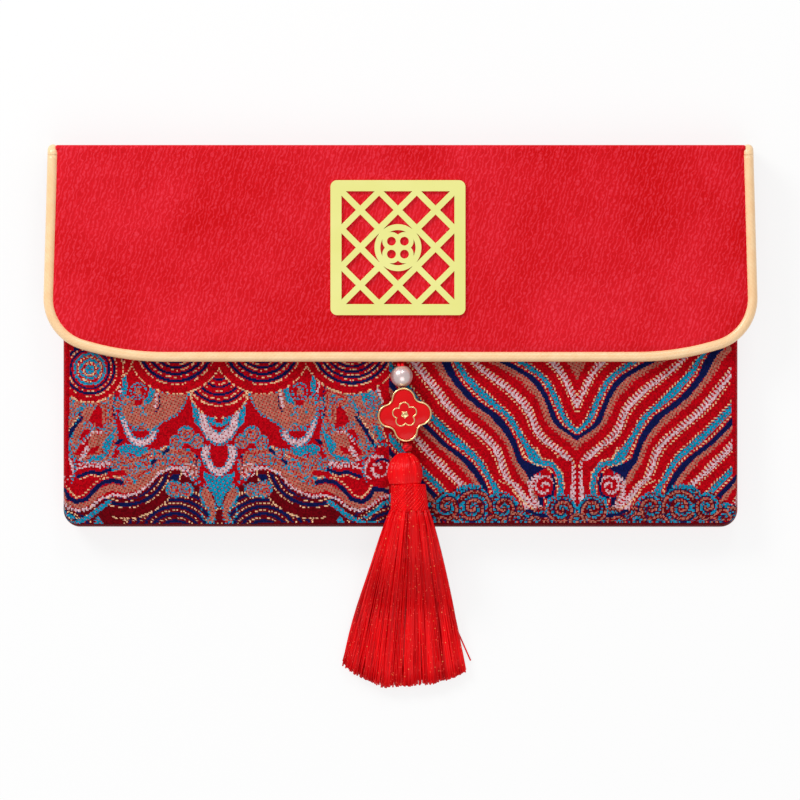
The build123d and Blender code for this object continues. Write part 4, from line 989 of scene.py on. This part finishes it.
# Painted reflection: the white lacquer tinted pink by the red surroundings.
add_node(tree, "ShaderNodeValToRGB", {"Fac": pink_reflection_tint}, [(0.3, "e0c4c6"), (0.7, "ecdad6")], to="Base Color")

bore_radius, bore_lip, bore_half = 1.2, 0.12, 2.3
ball = np.radians(np.linspace(-66, 66, 40))
profile_s = np.concatenate([[-bore_half], pearl_radius * np.sin(ball), [bore_half]])
profile_r = np.concatenate([[bore_radius - bore_lip], pearl_radius * np.cos(ball), [bore_radius - bore_lip]])
spin = np.linspace(0, 2 * np.pi, 48, endpoint=False)
pearl_points = hang(s_pearl + profile_s[:, None], profile_r[:, None] * np.cos(spin),
                    z_beads + profile_r[:, None] * np.sin(spin))
pearl = build_piece("pearl_coated", pearl_points, nacre, closed=True)
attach(pearl, "pearl")
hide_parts("pearl_bead")


# Charm: a four-lobed bead of die-cast metal plated gold, with a raised rim and, on the front, the wires of a
# five-petalled blossom. Red enamel fills both faces to just under the rim, drilled from lobe to lobe for the
# cord. The plate is polished and mirrors what is round it, a little uneven from the casting.
polish_mm = 0.7
charm_gold, tree, place = start_finish("polished_gold_plate", Metallic=1.0, Roughness=0.22)
polish = add_node(tree, "ShaderNodeTexNoise", {"Vector": place, "Scale": 1000 / polish_mm, "Detail": 3.0})
add_node(tree, "ShaderNodeValToRGB", {"Fac": polish}, [(0.3, "f0c680"), (0.7, "fbe0ae")], to="Base Color")
add_node(tree, "ShaderNodeBump", {"Height": polish, "Strength": 0.1, "Distance": 0.00005}, to="Normal")

# The enamel is glassy, with slow ripples from the way that it flowed in firing.
flow_mm = 3.0
enamel, tree, place = start_finish("fired_red_enamel", Roughness=0.2, Specular_IOR_Level=0.2)
flow = add_node(tree, "ShaderNodeTexNoise", {"Vector": place, "Scale": 1000 / flow_mm, "Detail": 2.0})
add_node(tree, "ShaderNodeValToRGB", {"Fac": flow}, [(0.3, "d2030c"), (0.7, "dc0810")], to="Base Color")
add_node(tree, "ShaderNodeBump", {"Height": flow, "Strength": 0.08, "Distance": 0.0002}, to="Normal")

lobe_radius, notch_radius, lobe_offset, notch_offset = 3.3, 1.8, 4.1, 5.017
notch_turn = np.arctan2(notch_offset - lobe_offset, notch_offset)


def quatrefoil(inset, lobe_steps=16, notch_steps=7):
    """Points round the four lobes and the hollows between, moved inwards: one quarter turned four times."""
    lobe = np.linspace(notch_turn, np.pi - notch_turn, lobe_steps, endpoint=False)
    notch = np.linspace(2 * np.pi - notch_turn, 1.5 * np.pi + notch_turn, notch_steps, endpoint=False)
    wide, tight = notch_radius + inset, lobe_radius - inset
    quarter = np.concatenate([
        np.stack([tight * np.cos(lobe), lobe_offset + tight * np.sin(lobe)], -1),
        np.stack([wide * np.cos(notch) - notch_offset, wide * np.sin(notch) + notch_offset], -1),
    ])
    turns = [[(np.cos(a), np.sin(a)), (-np.sin(a), np.cos(a))] for a in np.arange(4) * np.pi / 2]
    return np.concatenate([quarter @ np.array(turn) for turn in turns])


def charm_rings(profile):
    """One ring of the charm's outline for each (inset, height) pair."""
    rings = np.stack([quatrefoil(inset) for inset, height in profile])
    heights = np.array([[height] for inset, height in profile])
    return hang(s_charm - rings[..., 1], rings[..., 0], z_beads + heights)


frame_rim = [(0.0, -1.9), (0.0, 1.9), (0.06, 2.1), (0.22, 2.2), (0.4, 2.15), (0.5, 1.95), (0.55, 1.4),
             (0.55, -1.4), (0.5, -1.95), (0.4, -2.15), (0.22, -2.2), (0.06, -2.1)]
charm_frame = build_piece("charm_rim", charm_rings(frame_rim), charm_gold, closed=True)
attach(charm_frame, "charm")
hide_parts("charm_frame")

# Each pool of enamel has an upright wall inside the rim and rises a little from there to its middle.
pool_wall, pool_run, pool_edge, pool_rise = 0.5, 2.3, 1.75, 0.3
pool = np.linspace(0, 1, 12)
pool_inset = pool_wall + pool_run * pool**0.8
pool_height = pool_edge + pool_rise * (1 - (1 - pool) ** 2)
front_pool = [(0.52, 0.0), (0.52, 1.6), *zip(pool_inset, pool_height)]
for name, node, side in (("charm_enamel_face", "charm_enamel_front", 1),
                         ("charm_enamel_reverse", "charm_enamel_back", -1)):
    rings = charm_rings([(inset, side * height) for inset, height in front_pool])
    face = build_piece(name, rings if side > 0 else rings[:, ::-1], enamel)
    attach(face, "charm")
    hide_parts(node)

# The blossom's outer and inner outlines are the far and near sides of five petal circles, and its heart is a
# dome.
petal_ring, petal_radius, petal_count, wire_radius, z_wire = 2.0, 1.35, 5, 0.19, 2.06
heart_radius, z_heart, heart_rise = 0.75, 1.95, 0.3
petal_turn = np.linspace(0, 2 * np.pi, 120, endpoint=False)
petal_gap = (petal_turn + np.pi / petal_count) % (2 * np.pi / petal_count) - np.pi / petal_count
reach = np.sqrt(petal_radius**2 - (petal_ring * np.sin(petal_gap)) ** 2)
wire_reach = petal_ring * np.cos(petal_gap) + np.stack([reach, -reach])
wire_lines = hang(s_charm - wire_reach * np.cos(petal_turn), wire_reach * np.sin(petal_turn),
                  z_beads + z_wire)
wire_lines = np.concatenate([wire_lines, wire_lines[:, :1]], 1)
wires = build_piece("charm_blossom_wires", tube_along(wire_lines, ring(wire_radius, 8), vertical), charm_gold)
dome = np.radians(np.linspace(0, 88, 10))[:, None]
heart_turn = petal_turn[::5]
heart_points = hang(s_charm - heart_radius * np.cos(dome) * np.cos(heart_turn),
                    -heart_radius * np.cos(dome) * np.sin(heart_turn),
                    z_beads + z_heart + heart_rise * np.sin(dome))
heart = build_piece("charm_blossom_heart", heart_points, charm_gold)
for gilt in (wires, heart):
    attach(gilt, "charm")


# Knot: the cord's own end, wound three and a half times round itself between the charm and the tassel and
# pulled tight. The turns lie over a plain core, the two strands inside them.
coil_turns, coil_cord, coil_ball, coil_share = 3.5, 0.42, 0.99, 0.95
core_radius, core_half = 0.7, 1.1
coil = np.linspace(-1, 1, 120)
coil_angle = np.pi * coil_turns * coil
coil_radius = coil_ball * np.sqrt(1 - (coil_share * coil) ** 2)
coil_path = hang(s_knot + coil_share * coil_ball * coil, coil_radius * np.cos(coil_angle),
                 z_beads + coil_radius * np.sin(coil_angle))
coil_up = sideways + 0.3 * vertical + 2 * down
knot = lay_cord("knot_coils", coil_path, coil_cord, coil_up, *strand)
core_path = hang(np.linspace(s_knot - core_half, s_knot + core_half, 8), 0, z_beads)[None]
knot_core = lay_cord("knot_core", core_path, core_radius, vertical, *strand)
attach(knot, "knot")
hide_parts("neck_knot")
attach(knot_core, "knot")


# Tassel head: the skein's bight, some fifty silk threads drawn up to the knot and spread over a round core.
# The silk gathers into fine folds towards the crown.

# Rayon silk: bright red and very shiny, with streaks of tone along its fall and painted glints on a few
# specks, pale red and rarely gold.
glint_mm, sheen_mm, glint_share = 0.26, 2.4, 0.982
silk, tree, place = start_finish("red_rayon_silk", Roughness=0.2, Specular_IOR_Level=0.14, Anisotropic=0.5)
# Each thread's value here is its own tone, and on the head and the skirt's core also painted shade.
dye = add_node(tree, "ShaderNodeAttribute", attribute_name="dye")
drawn = add_node(tree, "ShaderNodeMapping", {"Vector": place, "Scale": (1.0, 0.08, 0.2)})
streaks = add_node(tree, "ShaderNodeTexNoise", {"Vector": drawn, "Scale": 1000 / sheen_mm, "Detail": 4.0})
shade = add_node(tree, "ShaderNodeMath", {0: dye, 1: streaks}, operation="MULTIPLY")
tone = add_node(tree, "ShaderNodeValToRGB", {"Fac": shade},
                [(0.1, "ac0006"), (0.35, "e2020b"), (0.65, "fd0c13")])
# Painted glints: a few specks of the silk made pale red, and rarely gold.
snap = add_node(tree, "ShaderNodeVectorMath", {0: place, 1: (glint_mm / 1000,) * 3}, operation="SNAP")
glint_noise = add_node(tree, "ShaderNodeTexWhiteNoise", {"Vector": snap}, noise_dimensions="3D")
painted_glint_mask = add_node(tree, "ShaderNodeMath", {0: glint_noise, 1: glint_share}, operation="GREATER_THAN")
painted_glint_colour = add_node(tree, "ShaderNodeValToRGB", {"Fac": glint_noise}, [(0.998, "fa4a40"), (0.999, "eca060")])
add_node(tree, "ShaderNodeMixRGB", {0: painted_glint_mask, 1: tone, 2: painted_glint_colour}, to="Base Color")

head_x, y_head, head_length, z_lying = 1.2, -31.91, 8.5, 9.5
head_width, head_height, head_crown, head_dome = 9.7, 8.2, 2.4, 0.7
pinch_start, pinch_depth, furrow_depth, gather_depth = 0.62, 0.13, 0.16, 0.2
gather_folds, gather_end = 14, 0.6
head_t = np.linspace(0, 1, 30)
swell = (1 - (1 - np.minimum(head_t / head_dome, 1)) ** 2) ** 0.7
pinch = 1 - pinch_depth * np.clip((head_t - pinch_start) / (1 - pinch_start), 0, 1) ** 2
head_half_x = (head_crown + (head_width - head_crown) * swell) / 2 * pinch
head_half_z = (head_crown + (head_height - head_crown) * swell) / 2 * pinch
head_z = z_beads + (z_lying + head_height / 2 - z_beads) * swell
threads, per_thread = 54, 5
turn = np.linspace(0, 2 * np.pi, threads * per_thread, endpoint=False)
random = np.random.default_rng(7)
thread_phase = np.repeat(random.uniform(0.6, 1.0, threads), per_thread)
furrow = furrow_depth * np.abs(np.sin(threads * turn / 2)) * thread_phase - furrow_depth
gather = gather_depth * np.sin(gather_folds * turn + 0.7)
gather = gather * np.clip(1 - head_t[:, None] / gather_end, 0, 1) ** 0.7
skin = 1 + (furrow + gather) / head_half_x[:, None].clip(2.0)
head_points = np.stack([
    head_x - head_half_x[:, None] * skin * np.cos(turn),
    np.broadcast_to((y_head - head_t * head_length)[:, None], skin.shape),
    head_z[:, None] + head_half_z[:, None] * skin * np.sin(turn),
], -1)
# Painted shade on top of each thread's tone: the deeper a head thread sits in its furrows, the darker it is.
head = build_piece("tassel_head_silk", head_points[:, ::-1], silk, dye=0.55 + 0.45 * thread_phase[::-1])
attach(head, "tassel")
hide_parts("tassel_head")


# Tassel band: a sleeve knotted from the same silk, pulled over the skein's neck to hold it together.
# It is a net of threads that cross both ways round a plain core.
band_x, band_shift, y_band, band_length = 2.1, 0.4, -40.41, 7.6
band_half, band_height, band_flare = 4.7, 7.9, 0.45
net_threads, net_turn, net_radius, net_cross, core_proud = 30, 1.5, 0.2, 0.06, 0.1


def on_band(t, angle, proud):
    """A point on the sleeve's oval: t along it, angle round it, proud of its core."""
    half_x = band_half + band_flare * t - net_radius * 2 + proud
    half_z = band_height / 2 - net_radius * 2 + proud
    x = band_x + band_shift * t + half_x * np.cos(angle)
    z = z_lying + band_height / 2 + half_z * np.sin(angle)
    return np.stack(np.broadcast_arrays(x, y_band - band_length * t, z), -1)


band_t = np.linspace(0, 1, 14)[:, None]
band_turn = np.linspace(0, 2 * np.pi, 64, endpoint=False)
band_core = build_piece("tassel_band_core", on_band(band_t, band_turn, core_proud), silk, dye=1.0)
net_t = np.linspace(0.02, 0.98, 12)
start = np.linspace(0, 2 * np.pi, net_threads, endpoint=False)[:, None]
paths = np.concatenate([on_band(net_t, start + way * net_turn * net_t, net_radius + way * net_cross)
                        for way in (-1, 1)])
net_points = tube_along(paths, ring(net_radius, 5), np.array([0.3, 0.2, 1.0]))
net_dye = random.uniform(0.8, 1.2, (2 * net_threads, 1, 1))
band_net = build_piece("tassel_band_net", net_points, silk, dye=net_dye)
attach(band_core, "tassel")
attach(band_net, "tassel")
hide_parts("tassel_band")


# Tassel skirt: the skein cut through at the hem, several hundred loose threads in about fifteen locks.
# They spread as they fall, drape over the pouch's bottom edge and lie on the table, with a ragged curved hem.
skirt_x, y_skirt, skirt_half, skirt_end_height, spread, hem_shift = 2.55, -47.41, 17.0, 3.2, 0.85, -1.5
drape_start, drape_run, z_front = -58.65, 18.0, 9.2
hem_x = np.array([-16.0, -10.8, -4.5, 0.0, 8.9, 15.2, 17.6])
hem_y = np.array([-90.3, -93.5, -96.2, -96.0, -95.2, -93.3, -91.9])


def underside(y):
    """Height of the skirt's underside: level over the pouch, then a smooth cosine fall to the table."""
    fall = np.clip((drape_start - y) / drape_run, 0, 1)
    return z_lying - z_front * (1 - np.cos(np.pi * fall)) / 2


def fall_points(aside, above, t, hem):
    """Points down a thread at aside and above, -1 to 1 in the skirt's oval, at shares t of its length."""
    half = band_half + band_flare + (skirt_half - band_half - band_flare) * t**spread
    height = band_height + (skirt_end_height - band_height) * t
    y = y_skirt + (hem - y_skirt) * t
    x, z = skirt_x + hem_shift * t + aside * half, underside(y) + height / 2 * (1 + above)
    return np.stack(np.broadcast_arrays(x, y, z), -1)


skirt_threads, thread_rows, thread_radius, locks, lock_pull = 900, 12, 0.26, 15, 0.16
thread_sway, thread_lift, tip_share, skein_depth, lock_groove = 0.55, 0.3, 0.85, 0.32, 0.05
angle = random.uniform(0, 2 * np.pi, skirt_threads)
angle += lock_pull * np.sin(locks * angle) * random.uniform(0.4, 1.0, skirt_threads)
depth = 1 - skein_depth * random.uniform(0, 1, skirt_threads) ** 1.6
depth -= lock_groove * (1 + np.cos(locks * angle))
aside, above = depth * np.cos(angle), depth * np.sin(angle)
hem = np.interp(skirt_x + hem_shift + aside * skirt_half, hem_x, hem_y)
hem += random.uniform(-0.5, 1.3, skirt_threads)
t = np.linspace(0, 1, thread_rows)
thread_path = fall_points(aside[:, None], above[:, None], t, hem[:, None])
sway = random.uniform(-1, 1, (2, skirt_threads, 1))
sway = sway * np.sin(np.pi * t * random.uniform(0.7, 2.2, (skirt_threads, 1)))
thread_path[..., 0] += thread_sway * sway[0] * t
thread_path[..., 2] += thread_lift * sway[1] * np.sin(np.pi * t)
thread_path[..., 2] = np.maximum(thread_path[..., 2], underside(thread_path[..., 1]) + thread_radius)
taper = ring(thread_radius, 4) * np.linspace(1.0, tip_share, thread_rows)[:, None, None]
skirt_points = tube_along(thread_path, taper, np.array([0.2, 0.1, 1.0]))
thread_dye = random.uniform(0.45, 1.15, (skirt_threads, 1, 1))
skirt = build_piece("tassel_skirt_threads", skirt_points, silk, dye=thread_dye)

# A plain core fills the middle of the skirt, dyed dark as painted shade deep among the threads, and one stray
# thread has slipped out at its side.
core_aside, core_above, y_core_end, core_end = 0.78, 0.7, -92.0, 0.97
core_t = np.linspace(0, core_end, 16)[:, None]
core_turn = np.linspace(0, 2 * np.pi, 60, endpoint=False)
core_points = fall_points(core_aside * np.cos(core_turn), core_above * np.sin(core_turn), core_t, y_core_end)
# Painted shade: the core's low dye value darkens it.
skirt_core = build_piece("tassel_skirt_core", core_points, silk, dye=0.4)

stray_x, stray_y, stray_out, stray_fall = 8.2, -62.0, 11.1, 27.2
stray_radius, stray_gap, stray_rise = 0.24, 0.3, 3.0
stray_t = np.linspace(0, 1, 24)
stray_path = np.stack([stray_x + stray_out * stray_t**1.1, stray_y - stray_fall * stray_t, 0 * stray_t], -1)
stray_path[:, 2] = underside(stray_path[:, 1]) + stray_gap + stray_rise * (1 - stray_t) ** 2
stray_points = tube_along(stray_path, ring(stray_radius, 6), vertical)
stray = build_piece("tassel_stray_thread", stray_points, silk, dye=0.9)
for loose in (skirt, skirt_core, stray):
    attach(loose, "tassel")
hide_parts("tassel_skirt")


# Stage: a white table top that takes a faint shadow, soft light from above and a camera that looks straight
# down. The top is matt. To the camera and in reflections it glows a little, so that it stays white.
paper_mm, glow_share, floor_half, z_floor = 2.0, 0.8, 4000, -0.05
table, tree, place = start_finish("white_table_top", Base_Color=linear("f4f4f4"), Roughness=0.9)
paper = add_node(tree, "ShaderNodeTexNoise", {"Vector": place, "Scale": 1000 / paper_mm, "Detail": 2.0})
add_node(tree, "ShaderNodeBump", {"Height": paper, "Strength": 0.05, "Distance": 0.0001}, to="Normal")
rays = add_node(tree, "ShaderNodeLightPath").outputs
seen = rays["Is Camera Ray"]
for ray in ("Is Glossy Ray", "Is Transmission Ray"):
    seen = add_node(tree, "ShaderNodeMath", {0: seen, 1: rays[ray]}, operation="MAXIMUM")
share = add_node(tree, "ShaderNodeMath", {0: seen, 1: glow_share}, operation="MULTIPLY")
glow = add_node(tree, "ShaderNodeEmission", {"Color": (1, 1, 1, 1), "Strength": 1.0})
mix = add_node(tree, "ShaderNodeMixShader", {0: share, 1: tree.nodes["Principled BSDF"], 2: glow})
tree.links.new(mix.outputs[0], tree.nodes["Material Output"].inputs["Surface"])
floor_line = np.linspace(-floor_half, floor_half, 9)
floor_points = np.stack(np.broadcast_arrays(floor_line, floor_line[:, None], z_floor), -1)
floor = build_piece("table_top", floor_points, table, around=False, smooth=False)

world = bpy.data.worlds.new("white_studio")
bpy.context.scene.world = world
world.use_nodes = True
world.node_tree.nodes["Background"].inputs["Color"].default_value = (1, 1, 1, 1)
world.node_tree.nodes["Background"].inputs["Strength"].default_value = 0.56
for name, stand, size, power in (
    ("soft_key", (-0.75, 0.75, 0.75), 0.45, 7.6),
    ("soft_second", (0.2, 1.0, 0.85), 0.35, 2.5),
    ("soft_fill", (0.1, -0.7, 1.2), 0.9, 3.8),
):
    lamp = bpy.data.lights.new(name, "AREA")
    lamp.shape, lamp.size, lamp.energy = "SQUARE", size, power
    softbox = add_object(name, lamp)
    softbox.location = stand
    tilt = np.arctan2(np.hypot(stand[0], stand[1]), stand[2])
    softbox.rotation_euler = (tilt, 0, np.arctan2(stand[0], -stand[1]))

lens = bpy.data.cameras.new("overhead")
lens.type, lens.sensor_width, lens.lens = "PERSP", 36.0, 245.2
camera = add_object("overhead", lens)
camera.location = (-0.00014, -0.0175, 1.5)
bpy.context.scene.camera = camera
bpy.context.scene.view_settings.view_transform = "Standard"
